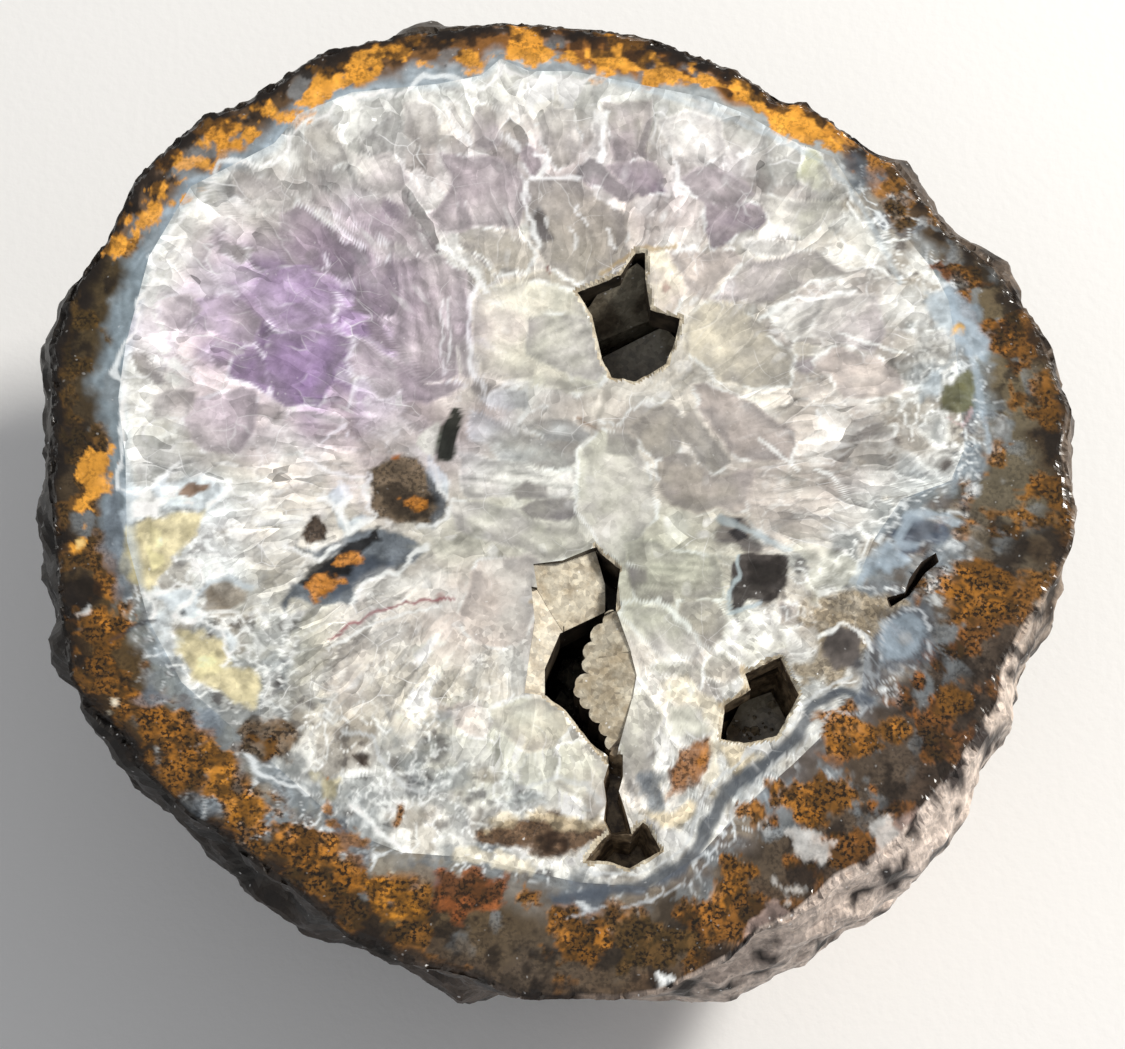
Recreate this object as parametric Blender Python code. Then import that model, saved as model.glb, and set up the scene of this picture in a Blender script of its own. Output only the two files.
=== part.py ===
"""Geode half: a rough rind of agate and moss stone filled with quartz, sawn across and polished.

Metres, +Z up.  The half lies on its rounded underside with the sawn face level on top, at
z = HEIGHT.  The origin is below the middle of the bounding box.  Outlines are in millimetres,
seen from above with +Y away from the viewer.
"""
import math

import bmesh
import bpy
import numpy as np
from mathutils import Matrix, Vector, noise

MM = 0.001

# Whole stone
HEIGHT = 48.0 * MM
REST_SHARE = 0.42
OUTSIDE_ROUNDNESS = 2.2
LUMP_SIZE = 13.0 * MM
LUMP_HEIGHT = 3.0 * MM
KNOB_SIZE = 5.5 * MM
KNOB_HEIGHT = 1.5 * MM
KNOB_OFFSET = Vector((40.0, 0.0, 0.0))
EDGE_BAND = 0.06
EVEN_BAND = 0.35
EVEN_SPAN = math.radians(15.0)

# Cavity of the rind, and the quartz that fills it
CAVITY_DEPTH = 37.0 * MM
CAVITY_ROUNDNESS = 2.5
CAVITY_NARROWING = 0.9
GAP = 0.3 * MM

# Steps of the meshes
OUTSIDE_AROUND = 104
OUTSIDE_DOWN = 17
CAVITY_AROUND = 72
CAVITY_DOWN = 8

# Edge of the sawn face, clockwise from the far side
RIM = [
    (-5, 53.5), (0.5, 53), (8.5, 52), (18.5, 48), (23.5, 44), (26, 44), (33, 38), (35, 37),
    (40.5, 29), (45, 25), (49, 18.5), (52, 9), (51.5, 6.5), (51, 4.5), (52, -1.5), (51.5, -5.5),
    (50, -9), (46.5, -14), (44, -19), (43.5, -22.5), (39.5, -29), (33.5, -36.5), (31, -38.5),
    (27, -40.5), (25, -42.5), (22.5, -44.5), (19, -46), (16.5, -48.5), (9.5, -52), (6, -52.5),
    (-3.5, -52.5), (-9, -50), (-14.5, -49), (-20, -46.5), (-25.5, -41.5), (-33.5, -35.5),
    (-36, -34), (-41, -29), (-43, -25.5), (-46, -23), (-48, -20), (-49.5, -12), (-51, 1),
    (-51.5, 16), (-49.5, 23), (-46.5, 28), (-43.5, 35.5), (-39.5, 40), (-37, 42.5), (-33, 44),
    (-25, 50), (-14.5, 52.5),
]

# Line between rind and quartz on the sawn face, clockwise from the left
QUARTZ_EDGE = [
    (-44.5, 10), (-44, 16), (-42, 26), (-38, 34), (-29.5, 39), (-27, 42.5), (-21.5, 45),
    (-12.5, 46), (-8, 47), (-6, 49), (-3, 47.5), (1.5, 47.5), (15, 44.5), (19.5, 42.5),
    (24, 39.5), (28.5, 37.5), (33.5, 29), (36, 28), (38.5, 24.5), (40, 21), (40.5, 16.5),
    (41, 4.5), (39.5, 1), (34.5, -1), (31.5, -5.5), (29, -12), (30.5, -16), (30, -21),
    (27, -25), (23, -29), (18, -33.5), (14, -38), (9, -41.5), (2, -41), (-8.5, -38.5),
    (-15, -38), (-20, -36), (-37, -20.5), (-40.5, -14), (-43, -5.5), (-43.5, 3.5),
]

# How far the outside swells past the sawn edge, by angle from +X, and where it is widest
SWELL = [
    (0, 1.6), (45, 0.5), (135, 0.5), (165, 1.2), (177, 2.6), (190, 1.8), (205, 0.9), (225, 0.6),
    (240, -0.2), (258, -1.2), (268, -2.8), (285, -0.5), (300, 3), (318, 3.2), (334, 0.4),
    (345, 0.8), (360, 1.6),
]
SWELL_SHARE = 0.3

# Mouths of the hollows in the sawn face
UPPER_MOUTH = [
    (2, 22), (6.5, 24), (8, 26.5), (9, 26.5), (9, 23.5), (9.5, 20), (12.5, 19), (12, 16.5),
    (11, 14), (8, 12), (5.5, 12.5), (4.5, 14.5), (4, 17), (3.5, 19.5),
]
LOWER_MOUTH = [
    (3.75, -6), (4.5, -7), (6.25, -8.5), (5.5, -10), (6, -12.5), (4.25, -14), (4.5, -15),
    (3.25, -15.5), (3.25, -16.5), (2.25, -17.75), (2.75, -19.25), (1.5, -20.75), (2, -21.75),
    (3, -23.25), (4.5, -24.5), (5.25, -26.5), (6, -28.25), (4.75, -28.5), (3.25, -26.75),
    (0.75, -23.25), (-1.25, -21.75), (-1.25, -18.75), (0.25, -14.75), (4.75, -12.25),
    (4.75, -9.5),
]
SIDE_MOUTH = [
    (22, -17.75), (18.5, -19.5), (19, -21.25), (16.5, -22.75), (16, -26.25), (18.25, -26.75),
    (21.5, -26), (23.75, -21.75), (22.75, -19.5),
]
FOOT_MOUTH = [
    (2.75, -38.75), (4.25, -36.75), (5.25, -35.5), (5.25, -31), (5, -27.5), (6, -27.5),
    (8, -31.5), (7.5, -35), (8.75, -35.25), (10, -37.75), (7, -39.5), (4.75, -38.75),
]
SLIT_MOUTH = [
    (37.75, -6.75), (38, -7.75), (36.5, -9), (35, -11.25), (33, -12.5), (32.75, -11.5),
    (34.5, -11), (35, -9.5), (36.25, -7.75),
]

# Chambers that open out under three of the mouths
UPPER_CHAMBER = [
    (3, 21), (6.5, 24.5), (10, 24.5), (13, 20), (12.5, 14.5), (8.5, 11.5), (4.5, 13),
]
LOWER_CHAMBER = [
    (1.5, -9.5), (5, -9), (6.5, -14), (6, -21), (5.5, -26.5), (2.5, -26), (-1.5, -21.5),
    (-1.5, -15.5),
]
SIDE_CHAMBER = [
    (22, -17.5), (18, -19), (16, -23), (16, -26), (19, -27.2), (22, -26), (24, -21.5),
]

# Depths in millimetres, each with the size of the outline there
UPPER_MOUTH_LEVELS = [(-2, 1.0), (5, 1.0)]
UPPER_CHAMBER_LEVELS = [(4, 0.9), (9, 1.0), (16, 0.95), (22, 0.7)]
LOWER_MOUTH_LEVELS = [(-2, 1.0), (7, 1.0)]
LOWER_CHAMBER_LEVELS = [(6, 0.9), (10, 1.05), (17, 1.0), (22, 0.75)]
SIDE_MOUTH_LEVELS = [(-2, 1.0), (4, 1.0)]
SIDE_CHAMBER_LEVELS = [(3, 0.95), (6, 1.05), (11, 0.75)]
FOOT_LEVELS = [(-2, 1.0), (0, 1.0), (6, 0.75)]
SLIT_LEVELS = [(-2, 1.0), (0, 1.0), (5, 0.6)]

# Sloping crystal faces left of the lower hollow: outline, depths at its high and low side,
# and the direction from +X in which the face falls
SLOPES = [
    ([(3.75, -6), (0, -8.5), (2.5, -12), (5, -13), (5.3, -11.5), (5, -9.5), (4.6, -7.2)],
     0.4, 2.6, -30),
    ([(-1.2, -8), (0, -8.5), (2.7, -12.1), (5, -13), (1, -15.5), (-0.6, -12)],
     0.3, 3.2, -70),
    ([(-1.25, -9.5), (-2.5, -12.5), (-1.75, -14), (-3.5, -17), (-3.25, -21.4), (-0.7, -21.5),
      (-0.7, -18.5), (0.8, -14.9), (-0.3, -12)],
     0.3, 4.0, -15),
]

# Stepped crystal plates on its right: outline and depth of each
PLATES = [
    ([(5.25, -12.5), (6.25, -13.25), (7.75, -15.7), (4.6, -15.3), (4.6, -13.6)], 3.2),
    ([(4.7, -14.9), (7.6, -15.5), (8.75, -17.4), (3, -16.9), (3, -15.3)], 2.5),
    ([(2.9, -16.6), (8.6, -17.2), (8.25, -19), (2.2, -19.4), (1.9, -17.6)], 1.9),
    ([(2.2, -19.2), (8.1, -18.8), (6.25, -21.75), (5.25, -23), (6.5, -24), (6.9, -25.5),
      (6, -28), (4.8, -28), (4.6, -26.4), (3.8, -24.6), (1.2, -21)], 1.3),
]

# Crystals on the floor of each chamber: seed, number, widths and heights in millimetres
UPPER_CRYSTALS = (11, 9, (4.5, 7.5), (7.0, 13.0))
LOWER_CRYSTALS = (23, 14, (2.8, 4.6), (5.0, 11.0))
SIDE_CRYSTALS = (37, 18, (1.6, 3.2), (2.0, 5.0))
CRUST_BED = 3.5
BED_SPREAD = 1.3
FOOT_SPREAD = 0.85
TIP_SHARE = 0.85
LEAN_OUT = -6.0
LEAN_IN = 26.0


def new_collection(name):
    collection = bpy.data.collections.new(name)
    bpy.context.scene.collection.children.link(collection)
    return collection


def add_material(obj, colour, roughness):
    made = bpy.data.materials.new(obj.name)
    made.use_nodes = True
    made.diffuse_color = (*colour, 1.0)
    shader = made.node_tree.nodes["Principled BSDF"]
    shader.inputs["Base Color"].default_value = (*colour, 1.0)
    shader.inputs["Roughness"].default_value = roughness
    shader.inputs["Metallic"].default_value = 0.0
    obj.data.materials.append(made)


def new_solid(bm, name, collection):
    """Turn a closed bmesh into an object whose faces all point outwards."""
    bmesh.ops.triangulate(bm, faces=bm.faces[:], quad_method="BEAUTY", ngon_method="BEAUTY")
    bmesh.ops.recalc_face_normals(bm, faces=bm.faces[:])
    mesh = bpy.data.meshes.new(name)
    bm.to_mesh(mesh)
    bm.free()
    obj = bpy.data.objects.new(name, mesh)
    collection.objects.link(obj)
    return obj


def tube(around, down, place):
    """A closed tube from a wrapped grid; place(step round, step down) gives each point."""
    bm = bmesh.new()
    bmesh.ops.create_grid(bm, x_segments=around, y_segments=down, size=0.5)
    for vert in bm.verts:
        step_round = round((vert.co.x + 0.5) * around) % around
        step_down = round((0.5 - vert.co.y) * down)
        vert.co = place(step_round, step_down)
    bmesh.ops.remove_doubles(bm, verts=bm.verts[:], dist=1e-7)
    bmesh.ops.holes_fill(bm, edges=[edge for edge in bm.edges if edge.is_boundary], sides=0)
    return bm


def combine(obj, other, operation, use_self=False):
    modifier = obj.modifiers.new(f"{operation.lower()}_{other.name}", "BOOLEAN")
    modifier.operation = operation
    modifier.solver = "EXACT"
    modifier.use_self = use_self
    modifier.object = other
    other.hide_render = True
    other.display_type = "WIRE"


def reach(outline, angle):
    """Distance in metres from the middle to a closed outline, in one direction."""
    dx, dy = math.cos(angle), math.sin(angle)
    farthest = 0.0
    for (ax, ay), (bx, by) in zip(outline, outline[1:] + outline[:1]):
        side_x, side_y = bx - ax, by - ay
        cross = dx * side_y - dy * side_x
        if abs(cross) < 1e-9:
            continue
        along = (ax * dy - ay * dx) / cross
        distance = (ax * side_y - ay * side_x) / cross
        if -1e-9 <= along <= 1.0 + 1e-9:
            farthest = max(farthest, distance)
    return farthest * MM


def polar(radius, angle, height):
    return Vector((math.cos(angle) * radius, math.sin(angle) * radius, height))


def even_reach(outline, angle):
    """The same distance averaged over a span of directions, which leaves out small notches."""
    turns = np.linspace(-EVEN_SPAN, EVEN_SPAN, 7)
    return float(np.mean([reach(outline, angle + turn) for turn in turns]))


def outside_point(step_round, step_down):
    """Point of the rough outside, from the sawn edge down to the resting flat."""
    angle = math.tau * step_round / OUTSIDE_AROUND
    even = step_down / OUTSIDE_DOWN
    share = 0.5 * even + 0.5 * math.sin(even * math.pi / 2.0)
    narrowing = 1.0 - REST_SHARE ** OUTSIDE_ROUNDNESS
    profile = (1.0 - narrowing * share ** OUTSIDE_ROUNDNESS) ** (1.0 / OUTSIDE_ROUNDNESS)
    angles, swells = zip(*SWELL)
    swell = float(np.interp(math.degrees(angle), angles, swells)) * MM
    swell *= share / SWELL_SHARE * math.exp(1.0 - share / SWELL_SHARE)
    evenness = min(share / EVEN_BAND, 1.0)
    radius = reach(RIM, angle) * (1.0 - evenness) + even_reach(RIM, angle) * evenness
    point = polar(radius * profile + swell, angle, HEIGHT * (1.0 - share))
    lump = noise.noise(point / LUMP_SIZE) * LUMP_HEIGHT
    knob = noise.noise(point / KNOB_SIZE + KNOB_OFFSET) * KNOB_HEIGHT
    rough = (lump + knob) * min(share / EDGE_BAND, 1.0)
    rise = knob * min(share / EDGE_BAND, (1.0 - share) / EDGE_BAND, 1.0)
    return point + polar(rough, angle, rise)


def cavity_point(step_round, step_down, inset):
    """Point of the cavity wall, moved inwards by inset."""
    angle = math.tau * step_round / CAVITY_AROUND
    share = step_down / CAVITY_DOWN
    profile = (1.0 - CAVITY_NARROWING * share ** CAVITY_ROUNDNESS) ** (1.0 / CAVITY_ROUNDNESS)
    radius = (reach(QUARTZ_EDGE, angle) - inset) * profile
    return polar(radius, angle, HEIGHT - (CAVITY_DEPTH - inset) * share)


def cavity_cutter_point(step_round, step_down):
    """The cavity wall, with one more ring on top that stands clear of the sawn face."""
    if step_down == 0:
        return cavity_point(step_round, 0, 0.0) + Vector((0.0, 0.0, 2.0 * MM))
    return cavity_point(step_round, step_down - 1, 0.0)


def middle_of(outline):
    return sum((Vector(p) for p in outline), Vector((0.0, 0.0))) / len(outline)


def ring_of(outline, size, inset):
    """Outline scaled about its middle, then with each side moved inwards by inset."""
    middle = middle_of(outline)
    points = [middle + (Vector(p) - middle) * size for p in outline]
    area = sum(a.x * b.y - b.x * a.y for a, b in zip(points, points[1:] + points[:1]))
    ring = []
    for before, here, after in zip(points[-1:] + points[:-1], points, points[1:] + points[:1]):
        one = (here - before).normalized()
        two = (after - here).normalized()
        across = Vector((-one.y - two.y, one.x + two.x)) * math.copysign(1.0, area)
        ring.append(here + across * inset / max(across.length_squared / 2.0, 0.5))
    return ring


def prism(name, collection, outline, levels, inset=0.0, floor=None):
    """Tapering solid under an outline; floor(point) may give the depth of its lowest ring."""
    rings = [ring_of(outline, size, inset) for depth, size in levels]
    depths = [depth for depth, size in levels]
    depths[0] += inset
    depths[-1] -= inset

    def place(step_round, step_down):
        flat = rings[step_down][step_round]
        depth = depths[step_down]
        if floor and step_down == len(levels) - 1:
            depth = floor(flat)
        return Vector((flat.x * MM, flat.y * MM, HEIGHT - depth * MM))

    return new_solid(tube(len(outline), len(levels) - 1, place), name, collection)


def falling_floor(outline, high, low, direction):
    """Depth of a flat face that falls from the high side of its outline to the low side."""
    fall = Vector((math.cos(math.radians(direction)), math.sin(math.radians(direction))))
    reaches = [fall.dot(Vector(p)) for p in outline]
    start, end = min(reaches), max(reaches)
    return lambda p: high + (low - high) * (fall.dot(p) - start) / (end - start)


def add_crystal(bm, frame, width, height):
    """Six-sided crystal with a pointed end, standing on the origin of a frame."""
    tip = width * TIP_SHARE
    shaft = height - tip
    made = bmesh.ops.create_cone(
        bm, cap_ends=True, segments=6, radius1=width / 2.0, radius2=width / 2.0, depth=shaft,
        matrix=frame @ Matrix.Translation((0.0, 0.0, shaft / 2.0)),
    )
    top = frame @ Vector((0.0, 0.0, shaft))
    faces = {face for vert in made["verts"] for face in vert.link_faces}
    end = min(faces, key=lambda face: (face.calc_center_median() - top).length)
    peak = bmesh.ops.poke(bm, faces=[end])["verts"]
    bmesh.ops.translate(bm, verts=peak, vec=frame.to_3x3() @ Vector((0.0, 0.0, tip)))


def crystal_cluster(name, outline, floor_size, floor_depth, crystals):
    """Crystals round the floor of a chamber, leaning towards its middle."""
    seed, count, widths, heights = crystals
    rng = np.random.default_rng(seed)
    middle = middle_of(outline)
    bm = bmesh.new()
    for number in range(count):
        corner = Vector(outline[number * 3 % len(outline)]) - middle
        outwards = corner * floor_size * FOOT_SPREAD * rng.uniform(0.15, 1.0)
        turn = math.radians(rng.uniform(-20.0, 20.0))
        outwards = Matrix.Rotation(turn, 2) @ outwards
        foot = (middle + outwards) * MM
        side = Vector((outwards.y, -outwards.x, 0.0)).normalized()
        lean = Matrix.Rotation(math.radians(rng.uniform(LEAN_OUT, LEAN_IN)), 4, side)
        spin = Matrix.Rotation(rng.uniform(0.0, math.tau), 4, "Z")
        place = Matrix.Translation((foot.x, foot.y, HEIGHT - (floor_depth + 0.5) * MM))
        width = rng.uniform(*widths) * MM
        add_crystal(bm, place @ lean @ spin, width, rng.uniform(*heights) * MM)
    return new_solid(bm, name, cutters)


def add_crust(name, outline, levels, crystals):
    """Crust of crystals on the floor of a chamber, kept clear of its walls by the gap."""
    floor_depth, floor_size = levels[-1]
    bed = [(floor_depth - CRUST_BED, BED_SPREAD), (floor_depth + 1.0, BED_SPREAD)]
    crust = prism(name, part, outline, bed)
    points = crystal_cluster(f"{name}_points", outline, floor_size, floor_depth, crystals)
    combine(crust, points, "UNION", use_self=True)
    room = prism(f"{name}_room", cutters, outline, levels, inset=GAP / MM)
    combine(crust, room, "INTERSECT")
    add_material(crust, (0.42, 0.35, 0.26), 0.35)


for leftover in list(bpy.data.objects):
    bpy.data.objects.remove(leftover, do_unlink=True)
part = new_collection("geode_half")
cutters = new_collection("cutters")

rind = new_solid(tube(OUTSIDE_AROUND, OUTSIDE_DOWN, outside_point), "rind", part)
cavity = new_solid(tube(CAVITY_AROUND, CAVITY_DOWN + 1, cavity_cutter_point), "cavity", cutters)
combine(rind, cavity, "DIFFERENCE")
combine(rind, prism("slit", cutters, SLIT_MOUTH, SLIT_LEVELS), "DIFFERENCE")
add_material(rind, (0.17, 0.11, 0.06), 0.55)

quartz = new_solid(
    tube(CAVITY_AROUND, CAVITY_DOWN, lambda i, j: cavity_point(i, j, GAP)), "quartz_fill", part
)
for name, outline, levels in [
    ("upper_mouth", UPPER_MOUTH, UPPER_MOUTH_LEVELS),
    ("upper_chamber", UPPER_CHAMBER, UPPER_CHAMBER_LEVELS),
    ("lower_mouth", LOWER_MOUTH, LOWER_MOUTH_LEVELS),
    ("lower_chamber", LOWER_CHAMBER, LOWER_CHAMBER_LEVELS),
    ("side_mouth", SIDE_MOUTH, SIDE_MOUTH_LEVELS),
    ("side_chamber", SIDE_CHAMBER, SIDE_CHAMBER_LEVELS),
    ("foot_hollow", FOOT_MOUTH, FOOT_LEVELS),
]:
    combine(quartz, prism(name, cutters, outline, levels), "DIFFERENCE")
for number, (outline, high, low, direction) in enumerate(SLOPES, 1):
    floor = falling_floor(outline, high, low, direction)
    cutter = prism(f"slope_{number}", cutters, outline, [(-2, 1.0), (1, 1.0)], floor=floor)
    combine(quartz, cutter, "DIFFERENCE")
for number, (outline, depth) in enumerate(PLATES, 1):
    cutter = prism(f"plate_{number}", cutters, outline, [(-2, 1.0), (depth, 1.0)])
    combine(quartz, cutter, "DIFFERENCE")
add_material(quartz, (0.74, 0.73, 0.76), 0.12)

add_crust("upper_hollow_crystals", UPPER_CHAMBER, UPPER_CHAMBER_LEVELS, UPPER_CRYSTALS)
add_crust("lower_hollow_crystals", LOWER_CHAMBER, LOWER_CHAMBER_LEVELS, LOWER_CRYSTALS)
add_crust("side_hollow_crystals", SIDE_CHAMBER, SIDE_CHAMBER_LEVELS, SIDE_CRYSTALS)

corners = [Vector(vert.co) for vert in rind.data.vertices]
low = [min(corner[axis] for corner in corners) for axis in range(2)]
high = [max(corner[axis] for corner in corners) for axis in range(2)]
centring = Matrix.Translation((-(low[0] + high[0]) / 2.0, -(low[1] + high[1]) / 2.0, 0.0))
for obj in [*part.objects, *cutters.objects]:
    obj.data.transform(centring)
print("centred by", [round(value / MM, 3) for value in centring.translation])
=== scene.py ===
"""Geode half, dressed: agate and moss stone rind, polished quartz filling, crystals in the hollows.

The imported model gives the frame. The rind, the quartz and the three crusts of crystals are made
again here with dense meshes. Lists of points are in millimetres on the sawn face, seen from above
with +Y away from the viewer, and SHIFT carries them to the model's own middle.
"""
import math

import bmesh
import bpy
import numpy as np
from bpy.props import FloatProperty, FloatVectorProperty, PointerProperty
from mathutils import Matrix, Vector, noise


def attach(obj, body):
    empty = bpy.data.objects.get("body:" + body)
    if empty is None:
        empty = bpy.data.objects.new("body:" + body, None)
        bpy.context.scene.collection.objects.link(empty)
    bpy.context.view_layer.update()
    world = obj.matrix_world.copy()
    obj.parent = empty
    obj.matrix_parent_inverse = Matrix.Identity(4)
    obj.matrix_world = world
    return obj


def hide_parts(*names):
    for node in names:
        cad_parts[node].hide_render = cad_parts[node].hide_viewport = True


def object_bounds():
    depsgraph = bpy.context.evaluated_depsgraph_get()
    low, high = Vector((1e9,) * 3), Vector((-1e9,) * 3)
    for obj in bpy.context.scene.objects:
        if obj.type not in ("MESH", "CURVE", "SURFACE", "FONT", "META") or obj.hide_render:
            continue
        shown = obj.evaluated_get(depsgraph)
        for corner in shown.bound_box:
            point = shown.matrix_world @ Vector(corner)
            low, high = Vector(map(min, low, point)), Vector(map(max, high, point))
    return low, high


bl_info = {
    "name": "Geode Half",
    "version": (1, 0, 0),
    "blender": (4, 5, 0),
    "location": "3D View > Sidebar > Geode",
    "description": "Dresses the geode half: rind, quartz, hollow crystals and stage",
    "category": "Object",
}

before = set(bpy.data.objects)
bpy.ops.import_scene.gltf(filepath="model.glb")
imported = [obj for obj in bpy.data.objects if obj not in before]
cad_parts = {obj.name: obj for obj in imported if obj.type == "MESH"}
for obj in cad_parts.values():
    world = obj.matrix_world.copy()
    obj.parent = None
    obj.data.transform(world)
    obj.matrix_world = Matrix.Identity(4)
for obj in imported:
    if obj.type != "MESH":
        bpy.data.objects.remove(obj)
CAD_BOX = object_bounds()

MM = 0.001
SHIFT = np.array((0.327, -1.26))
FACE_HEIGHT = 48.0

# Edge of the sawn face, and line between rind and quartz, both clockwise
RIM = [
    (-5, 53.5), (0.5, 53), (8.5, 52), (18.5, 48), (23.5, 44), (26, 44), (33, 38), (35, 37),
    (40.5, 29), (45, 25), (49, 18.5), (52, 9), (51.5, 6.5), (51, 4.5), (52, -1.5), (51.5, -5.5),
    (50, -9), (46.5, -14), (44, -19), (43.5, -22.5), (39.5, -29), (33.5, -36.5), (31, -38.5),
    (27, -40.5), (25, -42.5), (22.5, -44.5), (19, -46), (16.5, -48.5), (9.5, -52), (6, -52.5),
    (-3.5, -52.5), (-9, -50), (-14.5, -49), (-20, -46.5), (-25.5, -41.5), (-33.5, -35.5),
    (-36, -34), (-41, -29), (-43, -25.5), (-46, -23), (-48, -20), (-49.5, -12), (-51, 1),
    (-51.5, 16), (-49.5, 23), (-46.5, 28), (-43.5, 35.5), (-39.5, 40), (-37, 42.5), (-33, 44),
    (-25, 50), (-14.5, 52.5),
]
QUARTZ_EDGE = [
    (-44.5, 10), (-44, 16), (-42, 26), (-38, 34), (-29.5, 39), (-27, 42.5), (-21.5, 45),
    (-12.5, 46), (-8, 47), (-6, 49), (-3, 47.5), (1.5, 47.5), (15, 44.5), (19.5, 42.5),
    (24, 39.5), (28.5, 37.5), (33.5, 29), (36, 28), (38.5, 24.5), (40, 21), (40.5, 16.5),
    (41, 4.5), (39.5, 1), (34.5, -1), (31.5, -5.5), (29, -12), (30.5, -16), (30, -21),
    (27, -25), (23, -29), (18, -33.5), (14, -38), (9, -41.5), (2, -41), (-8.5, -38.5),
    (-15, -38), (-20, -36), (-37, -20.5), (-40.5, -14), (-43, -5.5), (-43.5, 3.5),
]

# Shape of the outside, as in the part
REST_SHARE = 0.42
OUTSIDE_ROUNDNESS = 2.2
LUMP_SIZE = 13.0
LUMP_HEIGHT = 3.0
KNOB_SIZE = 5.5
KNOB_HEIGHT = 1.5
KNOB_OFFSET = Vector((40.0, 0.0, 0.0))
EDGE_BAND = 0.06
EVEN_BAND = 0.35
EVEN_SPAN = math.radians(15.0)
SWELL = [
    (0, 1.6), (45, 0.5), (135, 0.5), (165, 1.2), (177, 2.6), (190, 1.8), (205, 0.9), (225, 0.6),
    (240, -0.2), (258, -1.2), (268, -2.8), (285, -0.5), (300, 3), (318, 3.2), (334, 0.4),
    (345, 0.8), (360, 1.6),
]
SWELL_SHARE = 0.3
CAVITY_DEPTH = 37.0
CAVITY_ROUNDNESS = 2.5
CAVITY_NARROWING = 0.9

# Steps of the meshes
FACE_AROUND = 1152
RIND_FACE_DOWN = 40
CAVITY_DOWN = 3
OUTSIDE_AROUND = 576
OUTSIDE_DOWN = 72

# Mouths of the hollows in the sawn face
UPPER_MOUTH = [
    (2, 22), (6.5, 24), (8, 26.5), (9, 26.5), (9, 23.5), (9.5, 20), (12.5, 19), (12, 16.5),
    (11, 14), (8, 12), (5.5, 12.5), (4.5, 14.5), (4, 17), (3.5, 19.5),
]
LOWER_MOUTH = [
    (3.75, -6), (4.5, -7), (6.25, -8.5), (5.5, -10), (6, -12.5), (4.25, -14), (4.5, -15),
    (3.25, -15.5), (3.25, -16.5), (2.25, -17.75), (2.75, -19.25), (1.5, -20.75), (2, -21.75),
    (3, -23.25), (4.5, -24.5), (5.25, -26.5), (6, -28.25), (4.75, -28.5), (3.25, -26.75),
    (0.75, -23.25), (-1.25, -21.75), (-1.25, -18.75), (0.25, -14.75), (4.75, -12.25),
    (4.75, -9.5),
]
SIDE_MOUTH = [
    (22, -17.75), (18.5, -19.5), (19, -21.25), (16.5, -22.75), (16, -26.25), (18.25, -26.75),
    (21.5, -26), (23.75, -21.75), (22.75, -19.5),
]
FOOT_MOUTH = [
    (2.75, -38.75), (4.25, -36.75), (5.25, -35.8), (7.2, -36.2), (8.3, -34.9), (8.75, -35.25),
    (10, -37.75), (7, -39.5), (4.75, -38.75),
]
GROOVE_MOUTH = [
    (4.9, -27.4), (5.5, -27.8), (6.4, -28), (6.4, -30.25), (6, -31.75), (6.6, -33.75),
    (7.2, -36), (5.25, -36.4), (4.5, -34.75), (4.75, -32.75), (4.5, -30.75), (5, -29),
]
SLIT_MOUTH = [
    (37.75, -6.75), (38, -7.75), (36.5, -9), (35, -11.25), (33, -12.5), (32.75, -11.5),
    (34.5, -11), (35, -9.5), (36.25, -7.75),
]
NICK_MOUTH = [(29.4, -19.4), (29.7, -19.8), (28.4, -20.9), (27.7, -20.5)]

# Chambers that open out under three of the mouths
UPPER_CHAMBER = [
    (3, 21), (6.5, 24.5), (10, 24.5), (13, 20), (12.5, 14.5), (8.5, 11.5), (4.5, 13),
]
LOWER_CHAMBER = [
    (1.5, -9.5), (5, -9), (6.5, -14), (6, -21), (5.5, -26.5), (2.5, -26), (-1.5, -21.5),
    (-1.5, -15.5),
]
SIDE_CHAMBER = [
    (22, -17.5), (18, -19), (16, -23), (16, -26), (19, -27.2), (22, -26), (24, -21.5),
]

# Depths in millimetres, each with the size of the outline there
UPPER_MOUTH_LEVELS = [(-2, 1.0), (5, 1.0)]
UPPER_CHAMBER_LEVELS = [(4, 0.9), (9, 1.0), (16, 0.95), (22, 0.7)]
LOWER_MOUTH_LEVELS = [(-2, 1.0), (7, 1.0)]
LOWER_CHAMBER_LEVELS = [(6, 0.9), (10, 1.05), (17, 1.0), (22, 0.75)]
SIDE_MOUTH_LEVELS = [(-2, 1.0), (4, 1.0)]
SIDE_CHAMBER_LEVELS = [(3, 0.95), (6, 1.05), (11, 0.75)]
FOOT_LEVELS = [(-2, 1.0), (0, 1.0), (6, 0.75)]
GROOVE_LEVELS = [(-2, 1.0), (0, 1.0), (3.4, 0.7)]
SLIT_LEVELS = [(-2, 1.0), (0, 1.0), (5, 0.6)]
NICK_LEVELS = [(-2, 1.0), (0, 1.0), (2.5, 0.5)]

# Sandy crystal faces left of the lower hollow: outline, depths at the high and low side, and the
# direction from +X in which the face falls
SLOPES = [
    ([(-2.4, -8), (0.5, -7.6), (3.9, -6.1), (5.1, -8.5), (5.4, -12.2), (0.5, -14.6),
      (-0.5, -13), (-2, -10.5)], 0.15, 2.4, -35),
    ([(-2.6, -10.4), (-2, -10.5), (-0.5, -13), (0.6, -14.6), (-0.6, -18.75), (-1.2, -21.9),
      (-3.25, -21.6), (-2.75, -17.5), (-2.25, -14)], 0.1, 1.8, 0),
]

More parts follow.
